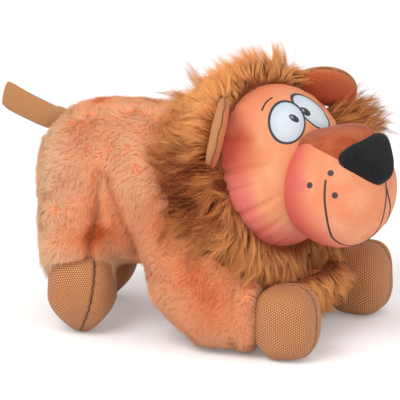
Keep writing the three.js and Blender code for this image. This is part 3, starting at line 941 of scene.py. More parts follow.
def mane_roots():
    """Where the mane's strands stand, also on the head, and which face the torso in its seat, or a leg."""
    spots, _ = scatter(mane_cloth.data, MANE_STRANDS, rng)
    more, _ = scatter(mane_cloth.data, EXTRA_STRANDS, rng)
    wanted = (in_long_lock(more, FAR_LOCK) > 0.5) & (to_head(more)[:, 0] > FAR_LOCK_FROM)
    spots = np.concatenate([spots, more[wanted]])
    local = to_head(spots)
    outward = unit_rows(local) @ HEAD_ROTATION.T
    seat_gap = clear_length(spots, outward, np.full(len(spots), SEAT_REACH), seat_tree)
    in_seat = (seat_gap < SEAT_REACH) & (local[:, 0] < SEAT_FROM)
    leg_hits = [legs_tree.ray_cast(Vector(spot), Vector(way))[0] for spot, way in zip(spots, outward)]
    under_leg = np.array([hit is not None for hit in leg_hits])
    kept = (local[:, 0] < FACE_FLAT) | (np.linalg.norm(local[:, 1:], axis=1) > FACE_REACH)
    kept &= ~in_seat | (rng.random(len(spots)) < SEAT_SHARE)
    kept &= seat_gap > SEAT_GAP
    below_far_ear = (in_long_lock(spots, FAR_LOCK) > 0.3) & (local[:, 2] < FAR_LOCK_TOP)
    kept &= below_far_ear | ~beside_ear(spots)
    return [row[kept] for row in (spots, local, in_seat, under_leg)]


def mane_pile():
    """Long hair in locks. It flows back from the face, stands up at the top, and lies over the body."""
    spots, local, in_seat, under_leg = mane_roots()
    count = len(spots)
    big_locks, locks = locks_of(spots, BIG_LOCK_STRANDS), locks_of(spots, MANE_LOCK_STRANDS)

    # How far each strand is at the rim, the top and the underside, and how near the body
    radial = unit_rows(local * np.array([0, 1, 1]))
    height = radial[:, 2]
    near_rim = np.clip(1 + local[:, 0] / RIM_SPAN, 0, 1)
    on_rim = np.clip(1 + local[:, 0] / RIM_EDGE, 0, 1)[:, None]
    top = np.clip((height - 0.25) / 0.6, 0, 1)
    under = np.clip((-height - 0.1) / 0.6, 0, 1)
    body_gap = np.array([outside_tree.find_nearest(Vector(spot))[3] for spot in spots])
    by_body = np.exp(-((np.maximum(body_gap - BODY_NEAR, 0) / BODY_SPAN) ** 2)) * ~in_seat * ~under_leg

    # Which way it stands and flows
    standing = unit_rows(local) * (1 - on_rim) + unit_rows(radial * 0.7 + np.array([1.0, 0, 0])) * on_rim
    standing = standing @ HEAD_ROTATION.T
    back_share = (1 - 0.9 * under * near_rim) * (1 - 0.5 * on_rim[:, 0])
    flow = np.array([[-1.0, 0, 0]]) * back_share[:, None] + radial * (0.3 + 0.6 * near_rim)[:, None]
    flow = flow @ HEAD_ROTATION.T
    flow[:, 2] -= 0.8 * np.clip(0.35 - height, 0, 1)
    flow += swirled(spots, MANE_FLOW)
    flow += rng.normal(0, 0.3, (count, 3))[big_locks] + rng.normal(0, 0.22, (count, 3))[locks]
    flow[:, 0] -= 0.7 * by_body
    flow = unit_rows(flow - standing * (flow * standing).sum(1, keepdims=True))

    # How steeply it rises, and its length
    wild = np.clip(lumps(spots, WILD_SIZE, WILD_SEED) * 1.7 - 0.15, 0, 1)
    rise = 0.16 + 0.1 * near_rim + 0.42 * wild + 0.1 * top + 0.2 * on_rim[:, 0]
    rise += rng.normal(0, 0.13, count)[locks] + 0.4 * by_body
    length = varied(HAIR["usual"], spots, HAIR_LENGTHS) + HAIR["wild"] * wild + HAIR["top"] * top
    length += rng.normal(0, HAIR["lock_varies"], count)[locks]
    length += by_body * (HAIR["swept"] + rng.normal(0, HAIR["swept_varies"], count)[locks])
    stray = rng.random(count) < STRAY_SHARE
    length += HAIR["stray"] * stray + rng.normal(0, HAIR["strand_varies"], count)
    length = np.where(in_seat, HAIR["in_seat"], length) * MM
    rise = np.where(in_seat, 0.6, np.maximum(rise, 0.05))
    lean = unit_rows(flow + standing * rise[:, None] + rng.normal(0, 0.05, (count, 3)))
    for lock in LONG_LOCKS:
        _, reach, heading, longer = lock
        mine = in_long_lock(spots, lock)[:, None]
        headed = np.array(heading) + rng.normal(0, 0.01 * reach, (count, 3))[locks]
        lean = unit_rows(lean * (1 - mine) + unit_rows(headed) @ HEAD_ROTATION.T * mine)
        length += longer * MM * mine[:, 0]

    # Its locks, laid over the body
    loose = in_seat | stray
    tips = draw_together(spots, spots + lean * length[:, None], big_locks, np.where(loose, 0, 0.22))
    tips = draw_together(spots, tips, locks, np.where(loose, 0, 0.3 + 0.4 * rng.random(count)))
    bends = bends_of(spots, standing, tips, 0.6)
    bow = rng.normal(0, 0.16, count)[locks] * length
    bends += np.cross(unit_rows(tips - spots), standing) * bow[:, None]
    over = ~in_seat & ~under_leg
    clearance = (LAID_LEAST + LAID_LOCK * rng.random(count)[locks] + LAID_STRAND * rng.random(count)) * MM
    tips[over] = laid_over(tips[over], outside_tree, TORSO_AXIS, clearance[over], MOST_LAID)
    clearance += BEND_CLEARANCE
    bends[over] = laid_over(bends[over], outside_tree, TORSO_AXIS, clearance[over], MOST_LAID)

    # How light it is
    tone = varied(0.42, spots, MANE_TONES) + rng.normal(0, 0.11, count)
    tone += rng.normal(0, 0.09, count)[locks] + 0.6 * top + 0.2 * top * near_rim
    # The underside is painted lighter: painted light that lifts the shade under the head
    tone += 0.5 * under - 0.2 * (1 - top) * (1 - under) + 0.5 * in_long_lock(spots, FAR_LOCK)
    # Painted shade on the mane's near side by the ear
    for place, reach in PAINTED_HAIR_SHADE:
        distance = np.linalg.norm(local - np.array(place), axis=1)
        tone -= 0.32 * np.exp(-((distance / reach) ** 2))
    width = (HAIR_WIDTH + HAIR_WIDER * rng.random(count)) * MM
    for name, cuts, mine, wave in (("mane_pile", 2, ~in_seat, MANE_WAVE), ("mane_seat_pile", 0, in_seat, 0)):
        rows = (row[mine] for row in (spots, standing, bends, tips, width, tone))
        pile(name, "head", "long_pile", mane_paint, cuts, *rows, MANE_SKIN_LIGHT, wave)


mane_pile()

# Hair on the chest

CHEST_STRANDS = 11000
CHEST_VOXEL, CHEST_INSET, CHEST_ROUNDS = 1.5 * MM, 1 * MM, 4
CHEST_LENGTH, CHEST_VARIES = 19, 3  # mm
CHEST_WIDTH = 0.28 * MM
CHEST_BIG_LOCK, CHEST_LOCK = 90, 22  # strands
CHEST_FLOW = ((20 * MM, 41, 0.9),)
CHEST_TONES = ((12 * MM, 42, 0.3),)


def chest_pile(cloth):
    """Long hair that flows on under the chin, ahead and down between the front legs."""
    spots, normals = scatter(cloth.data, CHEST_STRANDS, rng)
    count = len(spots)
    flow = np.array([0.75, 0, -0.75]) + swirled(spots, CHEST_FLOW)
    locks = locks_of(spots, CHEST_LOCK)
    flow += rng.normal(0, 0.25, (count, 3))[locks]
    lean = unit_rows(flow + normals * 0.35)
    tips = spots + lean * (CHEST_LENGTH + rng.normal(0, CHEST_VARIES, (count, 1))[locks]) * MM
    tips = draw_together(spots, tips, locks_of(spots, CHEST_BIG_LOCK), 0.35)
    tips = draw_together(spots, tips, locks, 0.6)
    # The chest's hair is painted light, lifting the shade under the chin
    tone = varied(0.86, spots, CHEST_TONES) + rng.normal(0, 0.12, count)
    bends, width = bends_of(spots, normals, tips, 0.6), np.full(count, CHEST_WIDTH)
    rows = (spots, normals, bends, tips, width, tone)
    pile("chest_pile", "torso", "long_pile", mane_paint, 2, *rows, MANE_SKIN_LIGHT, MANE_WAVE)


chest_cloth = skin("chest_cloth", ["chest_mane"], CHEST_VOXEL, CHEST_INSET, CHEST_ROUNDS)
dress(chest_cloth, mane_backing_paint)
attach(chest_cloth, "torso")
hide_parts("chest_mane")
chest_pile(chest_cloth)

# Sports mesh

WEAVE_PITCH = 1.75 * MM
COS_60, SIN_60 = 0.5, 0.866
STITCH = 7 * MM
SEAM_THICK, SEAM_SINK = 0.7 * MM, 1.6 * MM  # the sewn line, and how far from it the mesh is drawn in
WEAR_SIZE = 22 * MM
MESH_DEPTH = 0.6 * MM
PAW_WANDER, EAR_WANDER = 0.25 * MM, 0.7 * MM  # of the seam from side to side


def weave(paint):
    """The mesh's cells, from 0 between them to 1 in the middle of one."""
    aside, along, _ = paint.parts(paint.uv("Weave"))
    turn = 2 * math.pi / WEAVE_PITCH
    waves = (aside, aside * COS_60 + along * SIN_60, aside * COS_60 - along * SIN_60)
    first, second, third = [(wave * turn).math("COSINE") for wave in waves]
    return (first + second + third).between(-0.9, 1.6)


def seam_line(paint, colour, wander, thick):
    """The colour with a sewn line along the seam, which wanders from side to side as stitches pull it, and
    painted shade in the crease where the seam draws the mesh in.
    """
    off, along, _ = paint.parts(paint.uv("Seam"))
    drift = (along * (2 * math.pi / STITCH)).math("SINE") * wander
    away = (off + drift).math("ABSOLUTE")
    crease_shade_fade = away.between(0.2 * thick, 5 * thick)
    # Painted shade in the drawn-in crease beside the seam
    colour = paint.blend((1 - crease_shade_fade) * 0.35, colour, linear(110, 56, 28))
    return paint.blend(1 - away.between(0.5 * thick, thick), colour, linear(66, 34, 18)), away


def mesh_paint(name, cell, thread, wear, wander):
    """Sports mesh, with the colours of its cells, its threads and its worn places, and a sewn seam."""
    paint = Paint(name)
    cells = weave(paint)
    colour = paint.blend(cells, linear(*thread), linear(*cell))
    colour = paint.blend(paint.noise(WEAR_SIZE).between(0.35, 0.75) * 0.5, colour, linear(*wear))
    colour, away = seam_line(paint, colour, wander, SEAM_THICK)
    paint.set("Base Color", colour)
    paint.set("Roughness", 0.7)
    paint.set("Sheen Weight", 0.1)
    paint.bump(cells * 0.35 + away.between(0.0, SEAM_SINK), MESH_DEPTH)
    return paint


# Paws

SEAM_WIDE, SEAM_DEPTH, PUCKER_DEPTH, PUCKERS = 0.06, 0.035, 0.02, 40  # the first three as shares of the paw
DENT_SCALE, DENT_SHIFT, DENT_SHARE = 1.6, 90, 0.04
TAPER_FROM, TAPER_POWER = -0.1, 1.6  # the height, as a share, under which a rear paw tapers
WEAVE_STRETCH = 1.12
PAW_SEGMENTS, PAW_RINGS = 128, 72

paw_paint = mesh_paint("brown_mesh", (228, 164, 108), (146, 84, 42), (172, 106, 56), PAW_WANDER).material


def pouch(leg):
    """A paw: a pouch of two panels, whose seam runs over a front paw's toe and over a rear paw's side."""
    kind, hand = kind_of(leg), hand_of(leg)
    middle, half = paw_place(leg)
    facing, roll = math.radians(-hand * kind["facing"]), math.radians(-hand * kind["roll"])
    turn = np.array(Euler((0, roll, facing), "XYZ").to_matrix())

    def shape(unit):
        pucker = 0.5 + 0.5 * np.cos(np.arctan2(unit[:, 2], unit[:, 1]) * PUCKERS)
        crease = np.exp(-((unit[:, :1] / SEAM_WIDE) ** 2)) * (SEAM_DEPTH + PUCKER_DEPTH * pucker[:, None])
        turned = unit @ turn.T
        form = superball(turned, (1, 1, 1), kind["fullness"]) * (1 - crease)
        shift = Vector(middle) * DENT_SHIFT
        dents = np.array([noise.noise(Vector(point) * DENT_SCALE + shift) for point in turned])
        form *= 1 + DENT_SHARE * dents[:, None]
        lower = np.clip(TAPER_FROM - form[:, 2:], 0, 1)
        form[:, :2] *= 1 - (1 - kind["tip_share"]) * lower**TAPER_POWER
        placed = form * half + middle
        placed[:, 2] = np.maximum(placed[:, 2], 0)
        return placed

    piece, unit = ball_form(f"{leg}_paw_pouch", PAW_SEGMENTS, PAW_RINGS, shape)
    radius = float(half.mean()) * WEAVE_STRETCH
    round_weave(piece.data, unit, radius)
    seam_map(piece.data, unit, radius)
    return piece


for leg in LEGS:
    sewn_on(pouch(leg), paw_paint, f"{leg}_leg", "brown_mesh", 0.8, f"{leg}_paw")

# Tail

TAIL_ROOT = -0.11  # where it comes out of the rump
TAIL_LEVEL, TAIL_RISE, TAIL_SLOPE = JOINTS["tail_wag"]["pos_m"][2], 17 * MM, 0.3
TAIL_HIDDEN = 2  # how much longer the part in the rump is than that of the CAD
TAIL_VOXEL, TAIL_INSET, TAIL_ROUNDS = 1.0 * MM, 0.4 * MM, 12
TAIL_THIN_SHARE = 0.45  # of its width that it loses towards the tip
TIP_PULL, TIP_RAISE, TIP_EASE = 4 * MM, 6 * MM, 10 * MM  # ahead, up at its upper corner, and over what height
TAN_GRAIN, TAN_DEPTH = 1.2 * MM, 0.06 * MM


def tail_shape(points):
    """The tail's strip, narrower and turned up at its tip, and carried on along its slope into the rump."""
    middle_line = points[:, 1].mean()
    to_tip = np.clip((TAIL_ROOT - points[:, 0]) / (TAIL_ROOT - points[:, 0].min()), 0, 1)
    points[:, 1] = middle_line + (points[:, 1] - middle_line) * (1 - TAIL_THIN_SHARE * to_tip)
    points[:, 0] += TIP_PULL * to_tip**2
    upper = np.clip((points[:, 2] - TAIL_LEVEL - TAIL_RISE * to_tip) / TIP_EASE, 0, 1)
    points[:, 2] += TIP_RAISE * to_tip**4 * upper
    inside = np.maximum(points[:, 0] - TAIL_ROOT, 0)
    points[:, 0] += TAIL_HIDDEN * inside
    points[:, 2] -= (1 + TAIL_HIDDEN) * TAIL_SLOPE * inside
    return points


tail_paint = Paint("tan_cloth")
grain = tail_paint.noise(TAN_GRAIN)
tan = tail_paint.blend(grain.between(0.3, 0.7), linear(166, 111, 65), linear(176, 121, 74))
tail_paint.set("Base Color", tan)
tail_paint.set("Roughness", 0.85)
tail_paint.set("Sheen Weight", 0.3)
tail_paint.bump(grain, TAN_DEPTH)
tail_strip = skin("tail_strip", ["tail"], TAIL_VOXEL, TAIL_INSET, TAIL_ROUNDS)
set_points(tail_strip.data, tail_shape(points_of(tail_strip.data)))
sewn_on(tail_strip, tail_paint.material, "tail", "tan_cloth", 0.4, "tail")

# Face

GATHERS = 34
GATHER_REACH, RIM_RADIUS = 13, 64  # mm, how far ahead of the rim gathers go, and the rim's own size
GATHER_IN_SHARE, GATHER_BACK_SHARE = 0.012, 0.05
# Folds drawn in at its rim: how far round in degrees, depth and reach in mm, and width in degrees
PINCHES = (
    (141, 2.4, 15, 2.6), (166, 2.0, 17, 2.2), (181, 1.5, 11, 2.0), (200, 2.0, 13, 2.6), (221, 1.6, 12, 2.6),
    (243, 1.4, 10, 2.2), (118, 1.0, 8, 2), (39, 2.2, 15, 2.6), (14, 2.0, 16, 2.2), (-1, 1.5, 11, 2.0),
    (-20, 2.0, 13, 2.6), (-41, 1.6, 12, 2.6), (-63, 1.4, 10, 2.2), (62, 1.0, 8, 2),
)


def face_shape(unit):
    """A dome, drawn in at its rim by gathers and a few deeper folds."""
    form = superball(unit, FACE["half"], FACE["fullness"])
    ahead = form[:, 0]
    form[:, 0] = np.where(ahead < 0, ahead * FACE["tuck"] / FACE["half"][0], ahead)
    clock = np.arctan2(unit[:, 2], unit[:, 1])
    depth_in = np.maximum(form[:, 0], 0)
    near_rim = np.exp(-((depth_in / GATHER_REACH) ** 2))
    strength = 0.55 + 0.45 * np.sin(clock * 5 + 1.3) * np.cos(clock * 3)
    folds = np.abs(np.cos(clock * GATHERS / 2 + 0.6 * np.sin(clock * 4))) ** 0.6
    inward = 1 - GATHER_IN_SHARE * near_rim * (1 - folds) * strength
    form[:, 1:] *= inward[:, None]
    form[:, 0] *= 1 - GATHER_BACK_SHARE * near_rim * (1 - folds) * strength
    spread = np.linalg.norm(form[:, 1:], axis=1)
    drawn = np.zeros(len(form))
    for turn, depth, reach, wide in PINCHES:
        away = (clock - math.radians(turn) + math.pi) % (2 * math.pi) - math.pi
        from_rim = np.clip((RIM_RADIUS - spread) / reach, 0, 3)
        crease = np.exp(-((away / math.radians(wide)) ** 2))
        puff = np.exp(-(((np.abs(away) - math.radians(2.2 * wide)) / math.radians(1.1 * wide)) ** 2))
        drawn += depth * (crease - 0.3 * puff) * np.exp(-(from_rim**2))
    outward = unit_rows(form * np.array([1.2, 1, 1]))
    form -= outward * (drawn * (ahead > 0))[:, None]
    return from_head(form)


FACE_WEAVE_RADIUS, MUZZLE_WEAVE_RADIUS = 62 * MM, 46 * MM
PRINT_DEPTH = 0.25 * MM

face, unit = ball_form("face_mesh", 320, 160, face_shape)
round_weave(face.data, unit, FACE_WEAVE_RADIUS)


class HeadPaint(Paint):
    """A material that knows how far ahead, to the left and up each point of the head is, in mm."""

    def __init__(self, name):
        super().__init__(name)
        kind = "ShaderNodeVectorMath"
        away = self.node(kind, {"operation": "SUBTRACT"}, self.place(), tuple(HEAD_MIDDLE))
        self.ahead, self.left, self.up = [
            self.node(kind, {"operation": "DOT_PRODUCT"}, away, tuple(row), output="Value")
            for row in (HEAD_ROTATION.T / MM).tolist()
        ]

    def away(self, spot):
        """How far a point is from a spot of the head, in mm."""
        ahead, left, up = self.ahead - spot[0], self.left - spot[1], self.up - spot[2]
        return (ahead * ahead + left * left + up * up).math("SQRT")

    def ring(self, left, up, half_long, half_short, degrees):
        """How far out a point is in an ellipse on the face: 1 on its line."""
        cos, sin = math.cos(math.radians(degrees)), math.sin(math.radians(degrees))
        aside, rise = self.left - left, self.up - up
        along = (aside * cos + rise * sin) / half_long
        over = (rise * cos - aside * sin) / half_short
        return (along * along + over * over).math("SQRT")


# Where the face is its deepest orange, in mm, and how far round each place: the print's airbrush, with
# painted shade beside the ears
FACE_AIRBRUSH_AND_SHADE = (((14, -54, 20), 22), ((16, -50, 34), 16), ((16, 46, 34), 20))
# Rings on the face, seen from ahead: to the left, up, half long and half short in mm, and turned in degrees
EYES = {
    "near": {"ring": (-12.8, 33.8, 19.8, 12.9, 26), "pupil": (-6.1, 34.4, 4.2, 3.0, -45)},
    "far": {"ring": (18.5, 32.2, 18.4, 12.5, -49), "pupil": (9.3, 35.0, 5.0, 3.4, -35)},
}
FACE_BLOTCH, MUZZLE_BLOTCH = 26 * MM, 24 * MM

paint = HeadPaint("printed_face")
cells = weave(paint)
_, half_wide, half_tall = FACE["half"]
rim = (paint.left * paint.left / half_wide**2 + paint.up * paint.up / half_tall**2).math("SQRT")
blotch = paint.noise(FACE_BLOTCH)
side = (paint.left.math("ABSOLUTE") * 1.0 + paint.up * -0.45).between(4, 52)
blush = (rim + (blotch - 0.5) * 0.3).between(0.8, 1.02) * (side * 0.75 + 0.25)
colour = paint.blend(blotch.between(0.3, 0.7), linear(242, 166, 114), linear(246, 190, 144))
colour = paint.blend(paint.up.between(20, 60) * 0.45, colour, linear(240, 128, 78))
colour = paint.blend(blush * 0.8, colour, linear(230, 92, 108))
for place, reach in FACE_AIRBRUSH_AND_SHADE:
    # The airbrush's deep orange, with painted shade beside the ears
    deep = 1 - paint.away(place).between(0.2 * reach, reach)
    colour = paint.blend(deep * 0.6, colour, linear(206, 76, 40))
colour = paint.blend((1 - cells) * 0.5, colour, linear(214, 104, 62))
for eye in ("far", "near"):
    out = paint.ring(*EYES[eye]["ring"])
    inside = 1 - out.between(0.985, 1.015)
    line = (out - 1).math("ABSOLUTE") * EYES[eye]["ring"][3]
    white = paint.blend(out.between(0.4, 1.0), linear(222, 230, 236), linear(198, 212, 222))
    white = paint.blend((1 - cells) * 0.12, white, linear(160, 175, 190))
    colour = paint.blend(inside, colour, white)
    pupil = 1 - paint.ring(*EYES[eye]["pupil"]).between(0.94, 1.06)
    colour = paint.blend(pupil, colour, linear(50, 48, 52))
    left, up = EYES[eye]["pupil"][:2]
    shine = 1 - paint.ring(left - 1.2, up + 1.5, 1.2, 1.3, 0).between(0.6, 1.2)
    colour = paint.blend(shine * 0.7, colour, linear(190, 195, 205))
    colour = paint.blend(1 - line.between(0.55, 0.95), colour, linear(58, 54, 56))
paint.set("Base Color", colour)
paint.set("Roughness", 0.6)
paint.bump(cells, PRINT_DEPTH)
sewn_on(face, paint.material, "head", "face_mesh", 0.9, "face_panel")

# Muzzle


def muzzle_shape(unit):
    form = superball(unit, MUZZLE["half"], MUZZLE["fullness"])
    return from_head(form + np.array(MUZZLE["middle"]))


DOTS = ((75.9, -33.0, -5.8), (61.7, -43.4, -10.3), (77.3, -37.4, -22.2))  # mm

muzzle, unit = ball_form("muzzle_mesh", 160, 112, muzzle_shape)
round_weave(muzzle.data, unit, MUZZLE_WEAVE_RADIUS, both_ends=False)
paint = HeadPaint("printed_muzzle")
cells = weave(paint)
blotch = paint.noise(MUZZLE_BLOTCH)
colour = paint.blend(blotch.between(0.3, 0.7), linear(242, 150, 104), linear(250, 180, 136))
side = ((paint.ahead * -1) + 68 + (blotch - 0.5) * 24).between(0, 26)
colour = paint.blend(side * 0.85, colour, linear(224, 84, 96))
colour = paint.blend((1 - cells) * 0.5, colour, linear(206, 104, 66))
for dot_at in DOTS:
    dot = 1 - paint.away(dot_at).between(2.1, 2.7)
    colour = paint.blend(dot, colour, linear(70, 52, 52))
paint.set("Base Color", colour)
paint.set("Roughness", 0.6)
paint.bump(cells, PRINT_DEPTH)
sewn_on(muzzle, paint.material, "head", "face_mesh", 0.95, "muzzle")

# Bridge and nose


def bridge_shape(unit):
    form = superball(unit, BRIDGE["half"], BRIDGE["fullness"])
    share = (1 + form[:, 0] / BRIDGE["half"][0]) / 2
    widening = BRIDGE["eye_share"] + (1 - BRIDGE["eye_share"]) * np.clip(share * 1.8, 0, 1)
    form[:, 1] *= widening
    return from_head(form + np.array(BRIDGE["middle"]))


VELOUR_GRAIN, VELOUR_PATCH, FLEECE_GRAIN = 1.6 * MM, 11 * MM, 1.0 * MM
NAP_DEPTH = 0.5 * MM

bridge, _ = ball_form("bridge_velour", 96, 64, bridge_shape)
velour_paint = Paint("velour")
grain = velour_paint.noise(VELOUR_GRAIN)
patch = velour_paint.noise(VELOUR_PATCH)
velour = velour_paint.blend(patch.between(0.3, 0.7), linear(156, 70, 36), linear(180, 94, 56))
velour = velour_paint.blend(grain.between(0.3, 0.7) * 0.35, velour, linear(150, 74, 44))
velour_paint.set("Base Color", velour)
velour_paint.set("Roughness", 0.95)
velour_paint.set("Sheen Weight", 0.12)
velour_paint.set("Specular IOR Level", 0.2)
velour_paint.bump(grain, NAP_DEPTH)
sewn_on(bridge, velour_paint.material, "head", "brown_plush", 0.9, "nose_bridge")


def nose_shape(unit):
    form = superball(unit, NOSE["half"], NOSE["fullness"])
    share = (1 + form[:, 2] / NOSE["half"][2]) / 2
    form[:, 1] *= NOSE["tip_share"] + (1 - NOSE["tip_share"]) * share
    lean = math.radians(-NOSE["lean"])
    turn = np.array([[math.cos(lean), 0, math.sin(lean)], [0, 1, 0], [-math.sin(lean), 0, math.cos(lean)]])
    return from_head(form @ turn.T + np.array(NOSE["middle"]))


nose, _ = ball_form("nose_fleece", 96, 64, nose_shape)
fleece_paint = Paint("fleece")
grain = fleece_paint.noise(FLEECE_GRAIN)
black = fleece_paint.blend(grain.between(0.35, 0.7), linear(17, 18, 20), linear(34, 36, 37))
fleece_paint.set("Base Color", black)
fleece_paint.set("Roughness", 0.95)
fleece_paint.set("Sheen Weight", 0.05)
fleece_paint.set("Specular IOR Level", 0.2)
fleece_paint.bump(grain, NAP_DEPTH)
sewn_on(nose, fleece_paint.material, "head", "black_fleece", 0.9, "nose")

# Mouth and brow, as printed lines that lie on the mesh

LINE_PROUD = 0.45 * MM
MOUTH_WIDTH, BROW_WIDTH = 2.3 * MM, 1.7 * MM
LINE_STEPS = 12  # for each knot
INK_GRAIN = 1.5 * MM


def tree_over(mesh):
    """A search tree over a mesh."""
    return BVHTree.FromPolygons([v.co for v in mesh.vertices], [tuple(p.vertices) for p in mesh.polygons])


def smooth_path(spots):
    """Points on a smooth path through the spots."""
    knots = np.array(spots, float)
    rows = []
    for step in np.linspace(0, len(knots) - 1, LINE_STEPS * len(knots)):
        i = min(int(step), len(knots) - 2)
        share = step - i
        before, after = knots[max(i - 1, 0)], knots[min(i + 2, len(knots) - 1)]
        here, there = knots[i], knots[i + 1]
        rows.append(0.5 * (
            2 * here + (there - before) * share + (2 * before - 5 * here + 4 * there - after) * share**2
            + (3 * here - before - 3 * there + after) * share**3
        ))
    return rows


def printed_line(name, spots, width, tree):
    """A line along a smooth path of head points, pressed onto what the tree holds."""
    curve = bpy.data.curves.new(name, "CURVE")
    curve.dimensions = "3D"
    curve.bevel_depth = width / 2
    curve.bevel_resolution = 1
    curve.use_fill_caps = True
    spline = curve.splines.new("POLY")
    rows = []
    for place in smooth_path(spots):
        hit, normal, _, _ = tree.find_nearest(Vector(from_head(place)))
        rows.append(hit - normal * (width / 2 - LINE_PROUD))
    spline.points.add(len(rows) - 1)
    for point, row in zip(spline.points, rows):
        point.co = (*row, 1)
    piece = piece_of(name + "_curve", curve)
    bpy.context.view_layer.update()
    mesh = bpy.data.meshes.new_from_object(piece.evaluated_get(bpy.context.evaluated_depsgraph_get()))
    bpy.data.objects.remove(piece)
    smooth(mesh)
    line = piece_of(name, mesh)
    dress(line, ink_paint.material)
    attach(line, "head")


MOUTH = [
    (93.6, 4.6, -25), (93.3, 3.2, -30), (92.2, 2.0, -36.9), (89.9, 0.6, -43.3), (84.8, 0.2, -52.1),
    (77.3, 0.6, -60), (69, -0.8, -65.8), (63, -4.5, -68.6), (59, -10, -68.4), (58.4, -17, -65.8),
    (58.8, -25.3, -61.4), (60.3, -33.4, -54.4), (63.5, -38.2, -47.4), (66.7, -41.3, -38.9),
    (69.1, -42.5, -30.9), (70.7, -42.2, -23.3), (72, -40.3, -16.2), (73.1, -37.2, -9.4),
]
FAR_MOUTH = [
    (93.3, 3.2, -30), (91.8, 5, -38), (88.5, 8.5, -46), (83, 11.5, -54), (75, 15, -60.5), (67, 22, -63.5),
    (61.5, 30, -60.5),
]
MOUTH_CORNER, MOUTH_SHIFT = 11, 6  # the knot from which the far side mirrors the near one, and by what in mm
BROW = [(21.5, -24.1, 47.7), (20.8, -18.7, 50.3), (20.3, -12.9, 52.1), (20.6, -6.5, 52.9)]

ink_paint = Paint("ink")
ink = ink_paint.blend(ink_paint.noise(INK_GRAIN), linear(38, 34, 36), linear(62, 56, 58))
ink_paint.set("Base Color", ink)
ink_paint.set("Roughness", 0.7)
far_side = FAR_MOUTH + [(ahead, MOUTH_SHIFT - left, up) for ahead, left, up in MOUTH[MOUTH_CORNER:]]
muzzle_tree = tree_over(muzzle.data)
printed_line("mouth_line_right", MOUTH, MOUTH_WIDTH, muzzle_tree)
printed_line("mouth_line_left", far_side, MOUTH_WIDTH, muzzle_tree)
printed_line("brow_line", BROW, BROW_WIDTH, tree_over(face.data))

# Ears

INNER_FROM, INNER_TO = -4 * MM, -1 * MM  # from the rim seam, between which the painted shade of the inner panel ends
SHADE_FADE_FROM, SHADE_FADE_TO = -12 * MM, 40 * MM  # along the ear, between which the painted shade fades
EAR_RADIUS = 27 * MM
EDGE_WIDE, EDGE_SHARE = 0.12, 0.03  # of the rim seam's crease
ROOT_SHARE = 0.14  # of its length that the ear keeps behind its seam
EDGE_WAVE, EDGE_TURN = 0.5, 0.4  # mm, and radians for each mm

ear_paint = mesh_paint("ear_mesh", (236, 166, 100), (160, 94, 46), (176, 112, 62), EAR_WANDER)
off, _, _ = ear_paint.parts(ear_paint.uv("Seam"))
out, _, _ = ear_paint.parts(ear_paint.uv("Weave"))
# Painted shade on the inner panel, darkest at the ear's base
painted_ear_shade = (1 - off.between(INNER_FROM, INNER_TO)) * (1 - out.between(SHADE_FADE_FROM, SHADE_FADE_TO) * 0.6)
plain = ear_paint.shader.inputs["Base Color"].links[0].from_socket
ear_paint.set("Base Color", ear_paint.blend(painted_ear_shade * 0.88, Value(ear_paint, plain), linear(212, 84, 38)))


def ear_pouch(side):
    """A pouch of two panels. The inner one faces ahead, and has painted shade, red-brown, towards the seam
    that holds it, as under a flap that leans forward.
    """
    seam, *directions = EAR_FRAMES[side]
    fullness = EAR["fullness"]

    def shape(unit):
        flat = np.linalg.norm(unit[:, 1:], axis=1)
        blunt = (flat**fullness + np.abs(unit[:, 0]) ** fullness) ** (-1 / fullness)
        form = unit[:, [1, 2, 0]] * blunt[:, None] * np.array(EAR["half"])
        edge = np.exp(-((unit[:, 0] / EDGE_WIDE) ** 2))
        form[:, :2] *= 1 - EDGE_SHARE * edge[:, None]
        form[:, 0] = np.where(form[:, 0] < 0, form[:, 0] * ROOT_SHARE, form[:, 0])
        form[:, 2] += np.sin(form[:, 1] * EDGE_TURN) * EDGE_WAVE * edge
        return (form @ np.stack(directions)) * MM + seam

    piece, unit = ball_form(f"{side}_ear_pouch", 160, 64, shape)
    round_weave(piece.data, unit, EAR_RADIUS)
    seam_map(piece.data, unit, EAR_RADIUS)
    return piece


for side in EAR_FRAMES:
    sewn_on(ear_pouch(side), ear_paint.material, f"{side}_ear", "brown_mesh", 0.5, f"{side}_ear")

# Inner pieces keep the shapes of the CAD, with their own finish

FIBRE_DEPTH, PLASTIC_DEPTH = 1.0 * MM, 0.1 * MM

filling_paint = cloth_paint("fibre", (244, 242, 236), FIBRE_DEPTH)
plastic_paint = cloth_paint("squeaker_plastic", (232, 232, 228), PLASTIC_DEPTH)
dress(frame["nodes"]["head_filling"], filling_paint)
for node in ("squeaker_bellows", "squeaker_reed"):
    dress(frame["nodes"][node], plastic_paint)

# Floor, light and camera

WORLD_LIGHT = 0.8
FLOOR_LIFT = 0.16  # that the camera sees in the floor, so that the floor is white where nothing shades it
FLOOR_HALF = 6
LAMPS = (("key", (-0.35, -1.0, 1.3), 0.9, 13), ("fill", (1.2, -0.8, 0.7), 1.0, 4))  # place, size and watts
LAMPS_AIM = Vector((0, 0, 0.1))


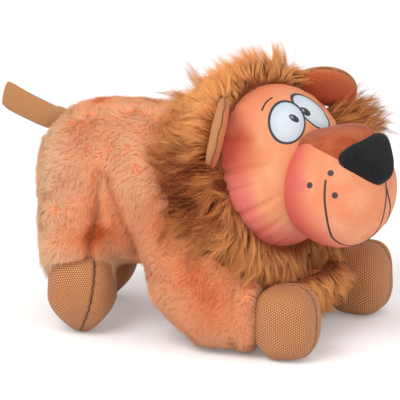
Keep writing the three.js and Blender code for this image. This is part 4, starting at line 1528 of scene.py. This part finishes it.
def stage():
    """A plain pale floor, an even white world and two soft lamps."""
    work = bmesh.new()
    bmesh.ops.create_grid(work, x_segments=1, y_segments=1, size=FLOOR_HALF)
    mesh = bpy.data.meshes.new("floor")
    work.to_mesh(mesh)
    work.free()
    floor = piece_of("floor", mesh)
    paint = Paint("pale_floor")
    paint.set("Base Color", (0.9, 0.9, 0.9, 1))
    paint.set("Roughness", 0.9)
    paint.set("Specular IOR Level", 0.0)
    camera_ray = paint.node("ShaderNodeLightPath", {})
    lift = (FLOOR_LIFT, FLOOR_LIFT, FLOOR_LIFT, 1)
    paint.set("Emission Color", paint.blend(camera_ray, (0, 0, 0, 1), lift))
    paint.set("Emission Strength", 1.0)
    dress(floor, paint.material)
    world = bpy.data.worlds.new("studio")
    world.use_nodes = True
    links, nodes = world.node_tree.links, world.node_tree.nodes
    background = nodes["Background"]
    background.inputs["Color"].default_value = (1, 1, 1, 1)
    rays = nodes.new("ShaderNodeLightPath")
    seen = nodes.new("ShaderNodeMapRange")
    seen.inputs["To Min"].default_value = WORLD_LIGHT
    seen.inputs["To Max"].default_value = 1
    links.new(rays.outputs["Is Camera Ray"], seen.inputs["Value"])
    links.new(seen.outputs["Result"], background.inputs["Strength"])
    bpy.context.scene.world = world
    for name, place, size, power in LAMPS:
        lamp = bpy.data.lights.new(name, "AREA")
        lamp.size = size
        lamp.energy = power
        holder = bpy.data.objects.new(name, lamp)
        holder.location = place
        holder.rotation_euler = (LAMPS_AIM - Vector(place)).to_track_quat("-Z", "Y").to_euler()
        bpy.context.scene.collection.objects.link(holder)


def camera():
    """A long lens at the photograph's angle."""
    turn, rise = math.radians(PHOTO_AZIMUTH), math.radians(PHOTO_ELEVATION)
    back = Vector((math.sin(turn) * math.cos(rise), -math.cos(turn) * math.cos(rise), math.sin(rise)))
    aside = Vector((math.cos(turn), math.sin(turn), 0))
    above = back.cross(aside)
    data = bpy.data.cameras.new("camera")
    data.sensor_width = SENSOR_WIDTH
    data.lens = SENSOR_WIDTH * CAMERA_DISTANCE / VIEW_WIDTH
    holder = bpy.data.objects.new("camera", data)
    holder.location = Vector(HEAD_MIDDLE) + aside * AIM_ASIDE + above * AIM_UP + back * CAMERA_DISTANCE
    holder.rotation_mode = "QUATERNION"
    holder.rotation_quaternion = (-back).to_track_quat("-Z", "Y")
    bpy.context.scene.collection.objects.link(holder)
    bpy.context.scene.camera = holder


stage()
camera()
bpy.context.scene.view_settings.view_transform = "Standard"
